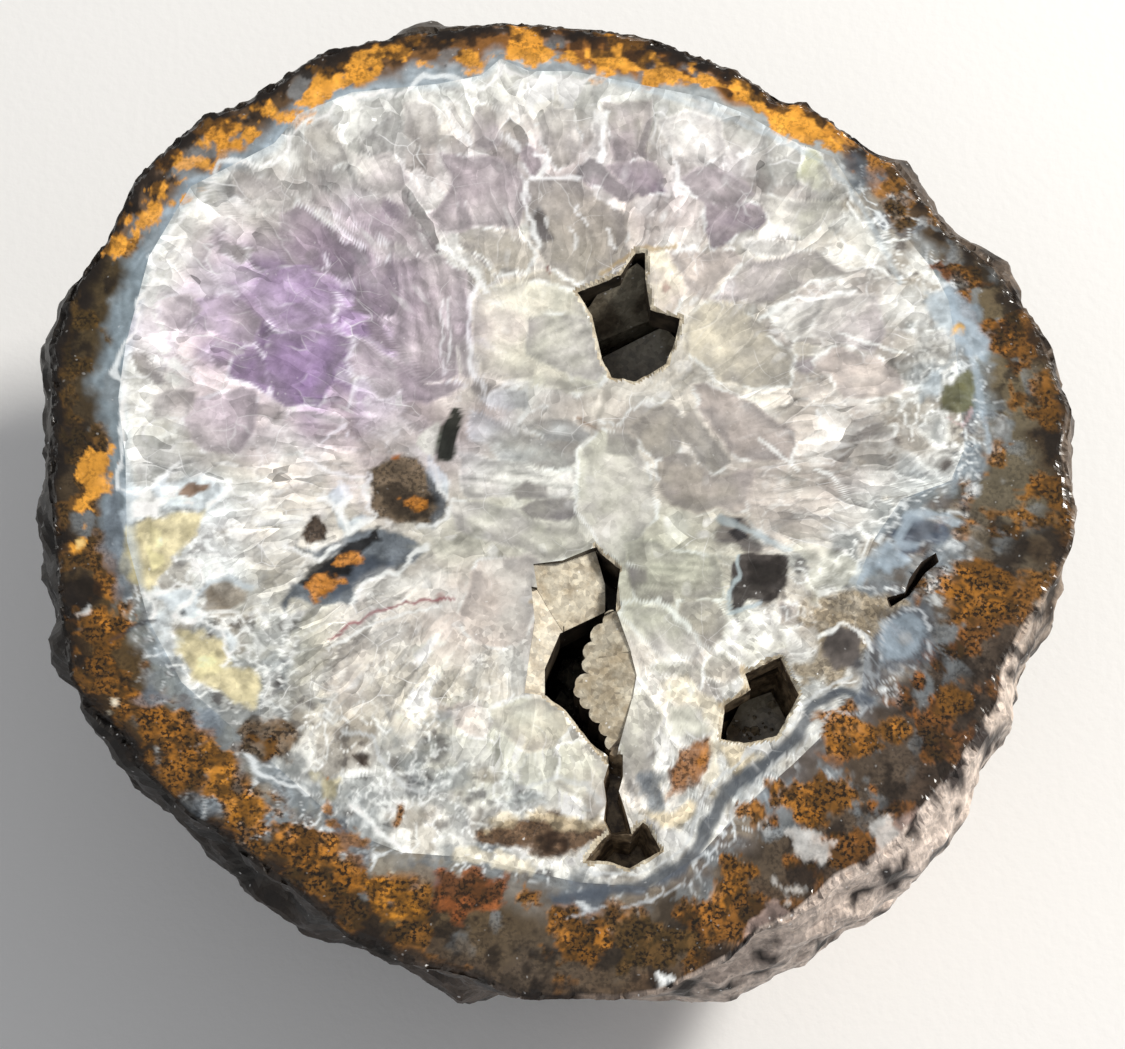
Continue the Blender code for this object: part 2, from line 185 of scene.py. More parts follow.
# Plates right of it: the scalloped edge, and the slopes that fall to it
PLATE_EDGE = [
    (5.8, -12.9), (4.5, -14), (3.4, -15.8), (2.75, -17.5), (3.1, -19.25), (1.75, -20.5),
    (2.25, -21.75), (3.2, -23), (4.2, -24.5), (4.9, -25.9), (5.3, -27.4), (5.6, -28.6),
]
SCALLOP_RISE = 0.3
PLATES = [
    ([(5.8, -12.8), (6.9, -16.2), (7.3, -17.4), (1.2, -18), (1.8, -16), (3.8, -13.6)],
     0.1, 1.7, 185),
    ([(7.2, -17.2), (7.8, -19.75), (7.4, -22.2), (1, -21.8), (0.6, -20), (1.2, -17.8)],
     0.1, 1.4, 178),
    ([(7.4, -22), (6.4, -25.75), (5.8, -28), (4.6, -27.8), (3.2, -25.9), (1.6, -23.6),
      (0.9, -21.6)], 0.1, 1.1, 190),
]

# Crystals on the floor of each chamber: seed, number, widths and heights in millimetres
UPPER_CRYSTALS = (11, 9, (4.5, 7.5), (7.0, 13.0))
LOWER_CRYSTALS = (23, 14, (2.8, 4.6), (5.0, 11.0))
SIDE_CRYSTALS = (37, 18, (1.6, 3.2), (2.0, 5.0))
CRUST_BED = 3.5
FOOT_SPREAD = 0.85
TIP_SHARE = 0.85
LEAN_OUT = -6.0
LEAN_IN = 26.0

# Big flat crystal faces low in the upper hollow: outline, depths at the high and low side,
# and the direction from +X in which the face falls
UPPER_BLOCKS = [
    ([(2.6, 21.2), (4.5, 23.4), (8.2, 25.8), (10.4, 24.9), (11.2, 22.9), (3.9, 19.6)],
     1.2, 7.5, -66),
    ([(3.6, 14.8), (3.9, 18.7), (11.0, 21.9), (13.2, 19.6), (12.6, 14.6), (8.5, 11.8)],
     8.2, 10.5, -150),
]

# Camera and light places
CAMERA_SPOT = (0.5, -3.75)
CAMERA_LENS = 128.0
CAMERA_RISE = 68.0
CAMERA_AWAY = 0.4
KEY_PLACE = (0.62, 0.34, 0.62)
FILL_PLACE = (-0.4, -0.5, 0.8)
FILL_SIZE = 0.9
SKY_STRENGTH = 0.36
AIM_SPOT = (0.0, 0.0, 0.03)

# Steps of the wrapped random values
LATTICE = 256

# How far the paint of the sawn face reaches down, and how near the rim it stops, in millimetres
RIND_PAINT_DEPTH = 1.5
QUARTZ_PAINT_DEPTH = 6.0
RIM_MARGIN = 0.35
ON_FACE = 0.01

# Faces of the rind that are polished: how deep, how level and how far inside the rim
RIND_POLISHED_DEPTH = 1.4
RIND_POLISHED_UP = 0.5
RIND_POLISHED_MARGIN = 0.1

# Faces of the rind that line its openings: inside the rim, below the face and steep, and either
# beside the quartz or in the slit and the nick
LINING_MARGIN = 1.2
LINING_DEPTH = 0.05
LINING_UP = 0.6
LINING_REACH = 0.6
SLIT_LINING_DEPTH = 5.5

# Faces of the quartz: steep or deep ones are walls, painted near black as shade in the hollows,
# sloping ones are sandy, and some mouths have brown crystals
WALL_UP = 0.4
WALL_DEPTH = 4.5
LEVEL_UP = 0.9993
SLOPE_DEPTH = 0.04
DRUSE_MARGIN = 0.4
DRUSE_DEPTH = 0.3

# Chipped edges: random seeds, and a gap at which nothing is chipped
RIM_CHIP_SEED = 401
SLIT_CHIP_SEED = 411
MOUTH_CHIP_SEED = 421
NO_CHIPS = 9.0

# Last lift and contrast of the painted quartz
QUARTZ_LIGHT = np.array((1.18, 1.16, 1.12))
QUARTZ_MIDDLE = 0.62
QUARTZ_CONTRAST = 0.3

# Fine detail of the materials: a colour that a tone turns to, or what it is multiplied by. The
# dot white and the glint white are painted glints, and the edge-line white is partly the white of
# fractures and partly painted highlight
MIST_DARK = (0.86, 0.86, 0.855, 1.0)
MIST_LIGHT = (1.12, 1.12, 1.12, 1.0)
SPECK_BLACK = (0.012, 0.009, 0.007, 1.0)
SPECK_GLOW = (1.25, 1.18, 1.05, 1.0)
SUGAR_DARK = (0.42, 0.40, 0.38, 1.0)
SUGAR_LIGHT = (1.45, 1.45, 1.42, 1.0)
PAINTED_SPARKLE_WHITE = (1.0, 1.0, 1.0, 1.0)
GLINT_WHITE = (0.96, 0.97, 0.98, 1.0)
EDGE_LINE_WHITE = (0.95, 0.96, 0.98, 1.0)
FLOOR_CLOUD = (0.70, 0.69, 0.68, 1.0)

# Dark and light tone of the broken or grown stone in the openings; the near-black walls of the
# hollows in the quartz are painted shade for the shade deep inside them
RIND_WALL_TONES = ((0.020, 0.014, 0.010), (0.10, 0.07, 0.05))
HOLLOW_SHADE_TONES = ((0.018, 0.013, 0.010), (0.085, 0.065, 0.045))
SANDY_TONES = ((0.40, 0.33, 0.23), (0.66, 0.60, 0.48))
DRUSE_TONES = ((0.06, 0.04, 0.026), (0.34, 0.26, 0.17))

# Flattening of a place, strength of the painted light and shade that a made-up slope gives each
# crystal face, relief in metres, and how quartz bends light
LEVEL = (1.0, 1.0, 0.0)
PAINTED_SHADE_TILT = 2.6
GRAIN_HEIGHT = 0.0003
QUARTZ_IOR = 1.54

# Tones of the stone as seen, from 0 to 255
TONES = {
    "agate_blue": (112, 122, 134), "agate_blue_deep": (78, 88, 104), "agate_brown": (122, 104, 84),
    "agate_dark": (50, 50, 56), "agate_grey": (134, 142, 148), "amber": (236, 166, 66),
    "amber_pale": (250, 214, 140), "black": (34, 29, 26), "brown": (112, 84, 58),
    "brown_dark": (62, 45, 34), "calcite": (210, 200, 158), "calcite_bright": (238, 230, 174),
    "calcite_green": (196, 200, 168), "cream": (222, 215, 196), "cream_white": (234, 231, 216),
    "dark_smoke": (66, 60, 60), "green_black": (46, 50, 44), "grey": (176, 173, 168),
    "grey_brown": (150, 138, 122), "haze": (206, 220, 232), "haze_blue": (164, 180, 194),
    "lilac": (170, 150, 186), "lilac_deep": (150, 126, 172), "lilac_grey": (194, 187, 193),
    "lilac_pale": (194, 182, 206), "line_blue": (182, 198, 212), "line_pale": (196, 202, 208),
    "line_pink": (204, 176, 180), "line_white": (236, 242, 246), "mauve": (178, 167, 177),
    "mauve_dark": (130, 116, 138), "mauve_warm": (186, 176, 174), "milk": (218, 217, 215),
    "milk_cool": (203, 211, 217), "milk_green": (202, 204, 192), "milk_greenish": (210, 218, 206),
    "moss_bright": (206, 138, 46), "moss_brown": (118, 88, 50), "moss_orange": (172, 114, 44),
    "moss_red": (156, 92, 50), "moss_shade": (52, 44, 28), "moss_spot": (76, 54, 34),
    "olive_crystal": (106, 106, 76), "orange": (212, 138, 44), "orange_brown": (166, 110, 56),
    "orange_dark": (158, 92, 34), "orange_pale": (228, 180, 100), "pink_stone": (196, 172, 164),
    "pinkish": (214, 203, 198), "quartz_ground": (222, 218, 210),
    "quartz_outer": (208, 213, 213), "red": (150, 60, 58), "red_line": (160, 84, 96),
    "rust": (142, 100, 58), "sand": (204, 190, 160), "sand_brown": (148, 134, 112),
    "sandy_grey": (186, 180, 170), "slate": (82, 90, 102), "smoke": (98, 93, 94),
    "smoke_pale": (142, 139, 144), "tan_edge": (190, 166, 122), "white": (236, 239, 240),
}

# How speckled with black, and how sugary, a tone is
SPECKLED = {
    "agate_blue": 0.2, "agate_brown": 0.6, "amber": 0.35, "black": 0.3, "brown": 0.5,
    "grey_brown": 0.2, "moss_bright": 0.85, "moss_brown": 1.0, "moss_orange": 1.0, "moss_red": 0.9,
    "moss_spot": 0.6, "orange": 0.6, "orange_brown": 0.8, "sand_brown": 0.4, "slate": 0.15,
}
SUGARY = {
    "brown": 0.8, "brown_dark": 0.5, "calcite": 0.25, "cream": 0.6, "dark_smoke": 0.5,
    "milk_greenish": 0.3, "pink_stone": 0.6, "sand": 1.0, "sand_brown": 1.0,
}

# Rind by direction in degrees: tones by the quartz, in the middle and at the rim, with the tone
# of its patches, their share, and how speckled they are
RIND_ZONES = [
    (0, (120, 128, 134), (104, 96, 80), (70, 58, 44), (168, 116, 52), 0.42, 0.8),
    (20, (136, 150, 158), (112, 100, 78), (64, 50, 36), (150, 100, 44), 0.4, 0.8),
    (38, (150, 152, 152), (78, 64, 48), (48, 38, 30), (130, 92, 46), 0.4, 0.7),
    (50, (160, 164, 166), (96, 72, 48), (46, 36, 28), (190, 130, 58), 0.45, 0.6),
    (58, (172, 176, 176), (186, 124, 54), (48, 36, 26), (232, 160, 62), 0.55, 0.4),
    (90, (160, 168, 174), (150, 100, 50), (50, 38, 28), (232, 160, 62), 0.5, 0.5),
    (120, (164, 178, 190), (96, 74, 52), (46, 38, 32), (232, 162, 62), 0.3, 0.4),
    (147, (150, 164, 176), (120, 100, 84), (40, 33, 28), (218, 148, 58), 0.3, 0.4),
    (155, (136, 150, 160), (76, 64, 44), (38, 32, 27), (104, 80, 42), 0.4, 0.8),
    (185, (126, 138, 146), (72, 60, 46), (36, 30, 26), (120, 86, 46), 0.35, 0.8),
    (200, (128, 134, 130), (88, 70, 44), (52, 40, 28), (168, 112, 46), 0.5, 0.9),
    (225, (136, 134, 124), (88, 68, 42), (58, 42, 28), (174, 116, 46), 0.5, 1.0),
    (250, (140, 134, 124), (94, 76, 50), (60, 46, 34), (172, 116, 48), 0.45, 1.0),
    (268, (118, 114, 110), (92, 80, 66), (92, 80, 68), (164, 110, 48), 0.4, 1.0),
    (285, (108, 102, 98), (92, 80, 66), (96, 76, 58), (164, 110, 48), 0.45, 1.0),
    (305, (104, 98, 96), (86, 74, 62), (84, 68, 56), (166, 108, 50), 0.42, 1.0),
    (330, (102, 98, 98), (88, 76, 66), (72, 62, 54), (158, 100, 50), 0.4, 1.0),
    (345, (106, 106, 108), (96, 86, 74), (76, 64, 54), (166, 112, 54), 0.42, 0.9),
    (360, (120, 128, 134), (104, 96, 80), (70, 58, 44), (168, 116, 52), 0.42, 0.8),
]

# Rough outside by direction in degrees: tone, tone of its patches
OUTSIDE_ZONES = [
    (0, (112, 98, 86), (60, 52, 46)), (50, (74, 62, 52), (36, 30, 26)),
    (110, (60, 52, 44), (34, 28, 24)), (160, (36, 30, 25), (20, 17, 14)),
    (215, (32, 25, 20), (18, 14, 11)), (250, (50, 41, 35), (24, 20, 17)),
    (272, (104, 90, 80), (44, 36, 32)), (288, (190, 174, 164), (44, 38, 36)),
    (315, (222, 206, 196), (56, 48, 46)), (338, (210, 194, 182), (56, 48, 44)),
    (350, (140, 122, 106), (64, 54, 46)), (360, (112, 98, 86), (60, 52, 46)),
]

# Soft tints in the quartz: tone, middle, half widths in millimetres, strength
TINTS = [
    ("lilac", (-26, 19), (13, 11), 1.0), ("lilac", (-30, 24), (8, 6), 0.6),
    ("lilac_grey", (-24, 31), (12, 7), 0.7), ("mauve", (-14, 24), (9, 9), 0.6),
    ("mauve", (-2, 37), (16, 6), 0.5), ("lilac_grey", (18, 34), (12, 8), 0.5),
    ("mauve_warm", (26, 18), (12, 9), 0.6), ("mauve_warm", (30, 6), (8, 8), 0.5),
    ("lilac_grey", (-32, 8), (9, 6), 0.5), ("milk_green", (-6, -4), (10, 8), 0.6),
    ("milk", (-20, -12), (8, 6), 0.5), ("pinkish", (-8, -13), (8, 6), 0.7),
    ("milk_green", (10, -8), (9, 9), 0.6), ("mauve_warm", (18, 3), (9, 8), 0.5),
    ("cream", (-16, -26), (12, 7), 0.45), ("milk_greenish", (-4, -28), (8, 6), 0.6),
    ("milk_green", (-38, 2), (6, 6), 0.4), ("sandy_grey", (28, -10), (8, 6), 0.5),
    ("haze", (-36, -6), (8, 10), 0.5), ("calcite_green", (-28, -16), (8, 8), 0.3),
    ("mauve_warm", (14, 24), (6, 5), 0.4), ("agate_grey", (-32, -20), (9, 8), 0.6),
    ("agate_grey", (-20, -31), (10, 6), 0.55), ("agate_grey", (34, 2), (6, 9), 0.3),
]

# Faint veils over the finished quartz: what each colour is multiplied by, place and strength
VEILS = [
    ((0.88, 0.78, 0.95), (-26, 16), (20, 17), 0.7), ((0.93, 0.88, 0.95), (0, 35), (24, 9), 0.5),
    ((0.78, 0.77, 0.76), (2.8, 29.0), (7, 6), 0.8), ((0.80, 0.80, 0.79), (18.8, 16.0), (8, 8), 0.8),
    ((1.12, 1.14, 1.12), (-3.2, 1.2), (7, 5), 1.0), ((0.92, 0.96, 0.88), (11.8, -9.0), (10, 8), 0.6),
]

# Places with lacy agate in the quartz: middle and half widths in millimetres
LACE = [
    ((-34, -17), (8, 8)), ((-24, -29), (12, 7)), ((-39, -7), (4, 9)), ((36, -5), (6, 8)),
    ((37, 9), (4, 10)), ((-12, -34), (10, 5)), ((26, -14), (6, 6)), ((14, -33), (6, 5)),
]

# What is drawn on the sawn face. Outlines and paths are rows of points, x,y for each in turn.
# Big cut crystals: tone, far tone and its direction, direction and strength of the streaks,
# share of the rim that shows white, outline. The turn to the far tone is partly the crystal's own
# colour and partly painted light and shade, and the white rim is a painted highlight
CRYSTALS = [
    ("grey", "sandy_grey", -60, -65, 0.35, 0.5, [-3,35, 2,35, 7,31, 7.5,28, 5,24.5, 2,23, -1,25, -3,28,
     -3.5,33]),
    ("smoke", "smoke", 0, 0, 0.3, 0, [-2.5,31, -2,32.5, -0.5,28, -2,27.5, -3,28]),
    ("grey", "sandy_grey", -90, -20, 0.3, 0.9, [-12,29, -9,29.5, -5,29, -3,28, -2,26, -3,24.5, -6,23.5,
     -8,26, -11,27]),
    ("smoke", "grey", 90, 0, 0.2, 0.2, [-6,25, -4,24.5, -6,23.5]),
    ("white", "cream", -60, -45, 0.2, 0.2, [-12,26, -12,28, -10.5,29, -10,27, -6.5,24.5, -6,23, -8,22,
     -9,24]),
    ("cream", "grey", 0, 0, 0.1, 0.4, [-6,23, -1,25, 2,22.5, 1,22, 0,22.5, -4.5,22]),
    ("lilac_grey", "mauve", 0, -30, 0.3, 0.6, [-21.5,32.5, -16,32, -13.5,28, -12,27, -13.5,26, -17,25.5,
     -17,27, -21,29.5]),
    ("mauve_dark", "mauve", -45, -40, 0.2, 0, [-18,32.5, -16.5,32, -14,29, -16,29.5, -18,31]),
    ("milk", "lilac_grey", 0, 0, 0.2, 0.2, [-17,28, -14,26, -17,25.5]),
    ("white", "milk", -60, -60, 0.3, 0.2, [-16,35, -14.5,36.5, -11.5,32.5, -12,31.5, -14,31, -16,34]),
    ("mauve", "lilac_grey", -20, -80, 0.35, 0.4, [-12.5,38, -6,37.5, -4,36, -3,32.5, -4,29.5, -8,29.5,
     -11.5,28, -14,31, -12,32, -11,33.5]),
    ("smoke_pale", "mauve", 0, -85, 0.2, 0, [-10.5,33, -10,33.5, -9,29.5, -10,29]),
    ("mauve", "mauve", 0, -80, 0.3, 0.7, [-4.5,38, -3,39, -1,37, -1,36, -2,35, -3,35]),
    ("white", "white", 0, 0, 0.2, 0, [-2,37.5, -0.5,37, -1,36, -2,35, -1.5,36.5]),
    ("smoke_pale", "mauve", -40, -40, 0.3, 0.3, [2,36.5, 3.5,37.5, 8.5,33, 7,32, 2,35]),
    ("white", "milk", -80, -80, 0.4, 0.4, [4,43, 5,43.5, 5,38, 4,37, 3,38]),
    ("smoke_pale", "grey", -90, -80, 0.2, 0, [5,39, 5.5,40, 5.5,37.5, 5,37]),
    ("mauve", "mauve_dark", -60, -60, 0.3, 0.4, [4.5,36.5, 10,37, 11,35, 11.5,33, 8.5,32.5]),
    ("mauve", "mauve_dark", -30, -40, 0.3, 0.3, [-28.5,31, -26.5,32, -24.5,31, -22,28, -20,27, -19,25,
     -20,23.5, -22,23, -27.5,25, -29,27]),
    ("mauve_dark", "mauve", 180, -40, 0.2, 0, [-26.5,26.5, -25,27, -22.5,24, -25.5,24.5]),
    ("lilac_grey", "milk", 60, -40, 0.3, 0.9, [-26.5,32.5, -17,27, -18,25]),
    ("lilac", "lilac_pale", -110, -30, 0.3, 0.6, [-30,24.5, -25.5,25, -22,21, -23,18.5, -27,17, -29,17.5,
     -31.5,22]),
    ("lilac_pale", "lilac", 60, -30, 0.3, 0.3, [-30.5,20.5, -26,21, -24,19, -26,17, -28.5,17.5]),
    ("mauve", "mauve_dark", -60, -80, 0.3, 0.3, [-21,25, -17,26, -15.5,24, -16.5,19, -19,19, -21,20]),
    ("lilac", "lilac_deep", -60, -70, 0.3, 0.5, [-29.5,17.5, -26,17.5, -24,18.5, -22,17.5, -21,16,
     -23,11.5, -24,9, -27.5,9, -29,10, -30,13]),
    ("lilac_deep", "lilac", 200, -60, 0.3, 0.5, [-33.5,12.5, -33,14.5, -30,15.5, -29.5,14, -29,10]),
    ("lilac_grey", "milk", -60, -30, 0.2, 0.5, [-21.5,14, -21,16, -20,17, -16,14, -15,11.5, -16,10,
     -18,10, -19.5,12, -21,12]),
    ("mauve_dark", "mauve", -60, -50, 0.2, 0, [-20,19, -18.5,19, -16,15, -19,16.5]),
    ("lilac_grey", "lilac_grey", 0, -20, 0.3, 0.5, [-38,10, -36,10, -32,11.5, -30.5,11, -30,9, -30.5,6.5,
     -32,4, -36,4, -38,7.5]),
    ("grey", "milk", 180, -20, 0.3, 0.4, [-41,10, -40,11, -38,11.5, -36,11, -38,7.5, -41,7.5]),
    ("smoke_pale", "grey", 180, -20, 0.3, 0.5, [-43.5,15, -42,15, -39,11.5, -41,11.5, -43,12.5]),
    ("lilac_pale", "lilac_grey", 0, -20, 0.3, 0.5, [-37,21, -34,22, -32,21, -30,19, -31,16, -36,17.5,
     -37.5,19]),
    ("mauve", "lilac_grey", 200, -80, 0.9, 0.2, [-17,25.5, -12,26, -9.5,24, -9,16.5, -10.5,16, -10,12.5,
     -13,11.5, -15,12, -16.5,15, -17,19, -16,21]),
    ("mauve", "lilac_grey", -60, -40, 0.4, 0.3, [-17,15, -13,11.5, -10,12, -9,11.5, -12,10, -13,9,
     -15.5,10]),
    ("cream_white", "milk_green", 0, -25, 0.4, 0.6, [-9,21, -8,22.5, -2,23.5, 2,22, 4,18, 4,16, 5.5,13,
     5,12, 2,10, 0,11, -3,11, -3,12, -8,12.5]),
    ("milk_green", "milk", -30, 25, 0.5, 0, [-3,19, 0,20, 3,19, 5,14, 4,12, 0,13, -3,15]),
    ("milk", "lilac_grey", 180, -80, 0.1, 0.6, [-10.5,16, -9,17.5, -8,15, -8.5,12.5, -9,12, -10,12.5]),
    ("grey", "grey", 0, -5, 0.1, 0.5, [-9,11.5, -8,12, -3,11, -6,11, -8,10]),
    ("milk_cool", "milk_cool", 0, -5, 0.2, 0.4, [-8,10, -6,11, -3,11, -3,9, -5,8.5, -7,9]),
    ("grey", "milk_cool", -90, -10, 0.2, 0.5, [-4,7, -2,8, 1,8, 3.5,6, 2,5, 0,5, -3,6]),
    ("milk_cool", "grey", 0, -15, 0.3, 0.3, [-9,9, -4,7, -2,5.5, 2,5, 2,3, 0,2, -3,3, -6,3, -7,5,
     -9,5.5]),
    ("milk", "white", 90, -8, 1, 0.2, [-10,4, 2,2, 2,-1, -9,-1, -10,1]),
    ("smoke_pale", "grey", 180, -8, 0.8, 0.2, [-4.5,0, -3,1, -1,0.5, -1,-1, -4,-1]),
    ("smoke_pale", "grey", 180, -8, 0.6, 0.3, [-4,-2, -2,-1, 2,-1, 2,-3, 0,-3.5, -3,-3]),
    ("milk_green", "milk", 180, -30, 0.4, 0.4, [-11,-1, -8,-1, -4,-2, -3,-3, 2,-4, 3,-6, 1,-7.5, -1,-8,
     -4,-6.5, -7,-6, -10,-4.5]),
    ("milk_green", "milk", -60, -50, 0.2, 0.7, [2,4, 4,7, 7,6.5, 9.5,3, 10,-3, 6.5,-8, 5,-7, 2,-2]),
    ("grey", "milk_green", -90, -60, 0.2, 0, [5,6.5, 7,6.5, 8,5, 7.5,3.5, 5,4]),
    ("sandy_grey", "grey", -60, -60, 0.2, 0.6, [7,7, 11,10, 12.5,9, 13,6, 12,4, 10,3]),
    ("pinkish", "milk", 0, -30, 0.2, 0.4, [-8,-7.5, -3,-7, -1,-8, -2,-10, -2,-12.5, -3,-16, -5.5,-17,
     -8.5,-16, -10.5,-13, -9,-11]),
    ("mauve_warm", "mauve_warm", -30, -75, 0.25, 0.6, [14,11.5, 15,12, 19.5,10, 23.5,7, 24.5,5, 23.5,3,
     18,3, 14,9]),
    ("sandy_grey", "grey", -60, -50, 0.3, 0.6, [12,7.5, 14,9, 16.5,4.5, 18,3, 15.5,1.5, 12,6.5]),
    ("mauve_warm", "sandy_grey", 180, -20, 0.3, 0.4, [10,3, 12,4, 14.5,3, 15.5,1.5, 19.5,2, 19,-2, 18,-3,
     16,-2, 14,-3, 11,-2, 10,0]),
    ("smoke_pale", "mauve_warm", 0, -5, 0.6, 0, [10,0, 12,0, 12,-0.5, 11,-0.5]),
    ("milk_green", "grey", -90, -5, 0.6, 0.6, [7,-6, 10,-5, 11,-6, 16,-7, 17,-12, 8,-12.5, 7,-11]),
    ("smoke_pale", "grey", 0, 90, 0.3, 0.3, [7,-8, 9,-8.5, 9,-10, 7.5,-10]),
    ("milk_green", "milk", -60, -40, 0.3, 0.8, [7,-12.5, 9,-12, 11,-12.5, 14.5,-17, 14,-18, 10,-18,
     6,-13.5]),
    ("grey", "sandy_grey", -60, -40, 0.3, 0.4, [12,-12, 16,-12, 17,-14, 16.5,-16, 15,-17, 12,-14]),
    ("milk_green", "white", 120, 60, 0.4, 0.5, [18,-14, 21,-13, 22.5,-15, 23,-17, 19,-19, 16.5,-17]),
    ("sandy_grey", "milk_green", 90, 0, 0.2, 0.9, [14.5,-18, 16.5,-17, 18,-18, 18.5,-19.5, 16.5,-21,
     14.5,-20, 14,-19]),
    ("grey", "milk_green", 90, -20, 0.3, 0.5, [10,-18, 14,-18.5, 14.5,-20, 14,-21, 12,-20, 10,-20,
     9,-19]),
    ("mauve_warm", "sandy_grey", -90, -20, 0.4, 0.3, [22,-12, 24,-12, 25,-13, 24,-14.5, 22,-14.5]),
    ("cream", "pinkish", -60, -75, 0.2, 0.8, [9,27, 10.5,27, 14,25, 15,22, 13,21, 12,18.5, 10,19.5,
     9,21.5]),
    ("mauve_warm", "pinkish", -120, -40, 0.3, 0.5, [11,27, 15,26.5, 18,27, 19,25.5, 15,21, 13.5,22]),
    ("lilac_grey", "grey", -20, 15, 0.5, 0.6, [19,25, 25,27, 27.5,26, 30,24, 24,22, 21,20.5, 15,21]),
    ("cream", "grey", -20, -30, 0.2, 0.9, [12.5,17.5, 14.5,21, 17,21, 20,19.5, 22,16.5, 24,15, 23.5,11.5,
     21.5,11, 16,12, 13,15]),
    ("white", "milk", -30, 35, 0.7, 0.4, [21,20.5, 28,21.5, 25,17, 24,16, 22,18]),
    ("white", "cream", 180, 0, 0.1, 0.8, [24,16, 25,16.5, 28,15.5, 28,15, 26,14.5, 24,15]),
    ("smoke_pale", "mauve", 0, 0, 0.3, 0, [24,14, 26,14.5, 27,14, 26,12.5, 24.5,13]),
    ("mauve_warm", "pinkish", -60, -20, 0.3, 0.5, [28,16, 32,15, 35,12.5, 35,11, 33,10, 29,10, 26,14]),
    ("milk", "lilac_grey", -30, 10, 0.4, 0.4, [28,21.5, 33,22, 33.5,17.5, 32,15, 25,17]),
    ("mauve", "mauve_dark", -60, -20, 0.3, 0.4, [15,32.5, 20,32, 22.5,31, 21,29, 16,27, 15,29]),
    ("white", "milk", 0, 0, 0.3, 0.3, [19,28, 22.5,28, 25,27, 24,26, 20,26, 19,27]),
    ("milk", "milk_green", 0, -10, 0.3, 0.5, [20.5,33, 30,32, 28,29.5, 25,28, 22.5,29]),
    ("lilac_grey", "mauve", -60, -60, 0.3, 0.5, [12,35, 15,36.5, 19.5,35, 20.5,33, 18,32, 15,32, 13,33]),
    ("white", "white", 0, -60, 0.3, 0, [11.5,35.5, 12,36.5, 14,33, 14,32.5, 12,33.5]),
    ("calcite_green", "milk_green", -60, -60, 0.2, 0.7, [25,38, 27,39, 29,34, 27,33, 25,35]),
    ("milk_green", "cream", -40, -30, 0.3, 0.6, [-7,-23.5, -4,-22, -1,-22, 1,-23.5, 2,-25, 0,-27, -3,-28,
     -6,-25.5]),
    ("sandy_grey", "mauve_warm", 0, 0, 0.2, 0.5, [-12.5,-23, -11.5,-22, -10,-23, -10,-24, -11.5,-24.5]),
    ("pinkish", "milk", 0, -60, 0.2, 0.6, [-10,-23, -8.5,-22.5, -6.5,-23, -6,-25, -7,-27, -10,-25]),
    ("milk_green", "sandy_grey", -60, -60, 0.3, 0.3, [0,-27, 2,-26, 4,-27, 5.5,-30, 5,-33, 3,-36, 2,-33,
     0,-31]),
    ("milk_green", "grey", -100, -70, 0.3, 0.3, [4,-21, 8,-21, 10,-23.5, 9,-32, 7,-33, 5.5,-24.5]),
    ("milk", "milk", 0, -80, 0.4, 0.4, [-12,44, -10,43.5, -8.5,38.5, -10,39]),
    ("grey", "lilac_grey", -80, -80, 0.4, 0.4, [-8.5,44, -6.5,44, -5.5,39, -7.5,38, -8.5,38.5, -9,41]),
    ("milk", "grey", -80, -75, 0.4, 0.5, [-1,43.5, 2,43, 2.5,40, 2,37, 0,36, -2,39, -2,42]),
    ("grey", "mauve", -80, -80, 0.4, 0.4, [4.5,44, 10,44, 9.5,37, 6,37]),
    ("milk", "grey", -60, -70, 0.4, 0.4, [-16.5,44, -13,44, -12,42, -12,39, -14,38, -16,40.5]),
    ("white", "milk", -60, -50, 0.4, 0.4, [10,42, 14,43, 17,42, 18,38, 15,36.5, 12,37]),
    ("grey", "milk", -60, -60, 0.4, 0.5, [-27,40.5, -24,42, -22,39, -21.5,37, -23.5,36, -26,37.5]),
    ("milk", "lilac_grey", -45, -50, 0.4, 0.4, [-21.5,38, -17,37.5, -15,35, -16,33, -18,33, -20.5,34]),
    ("grey", "milk", -45, -45, 0.3, 0.4, [-34,36, -30,35, -26.5,32.5, -27.5,31, -31,31, -33,33]),
    ("smoke_pale", "grey", -45, -20, 0.4, 0.4, [-35,28, -30,27, -32.5,25, -35,26.5]),
    ("milk", "lilac_grey", -20, -20, 0.3, 0.4, [-41,21, -37.5,22, -36.5,20, -38,17.5, -40,18]),
]

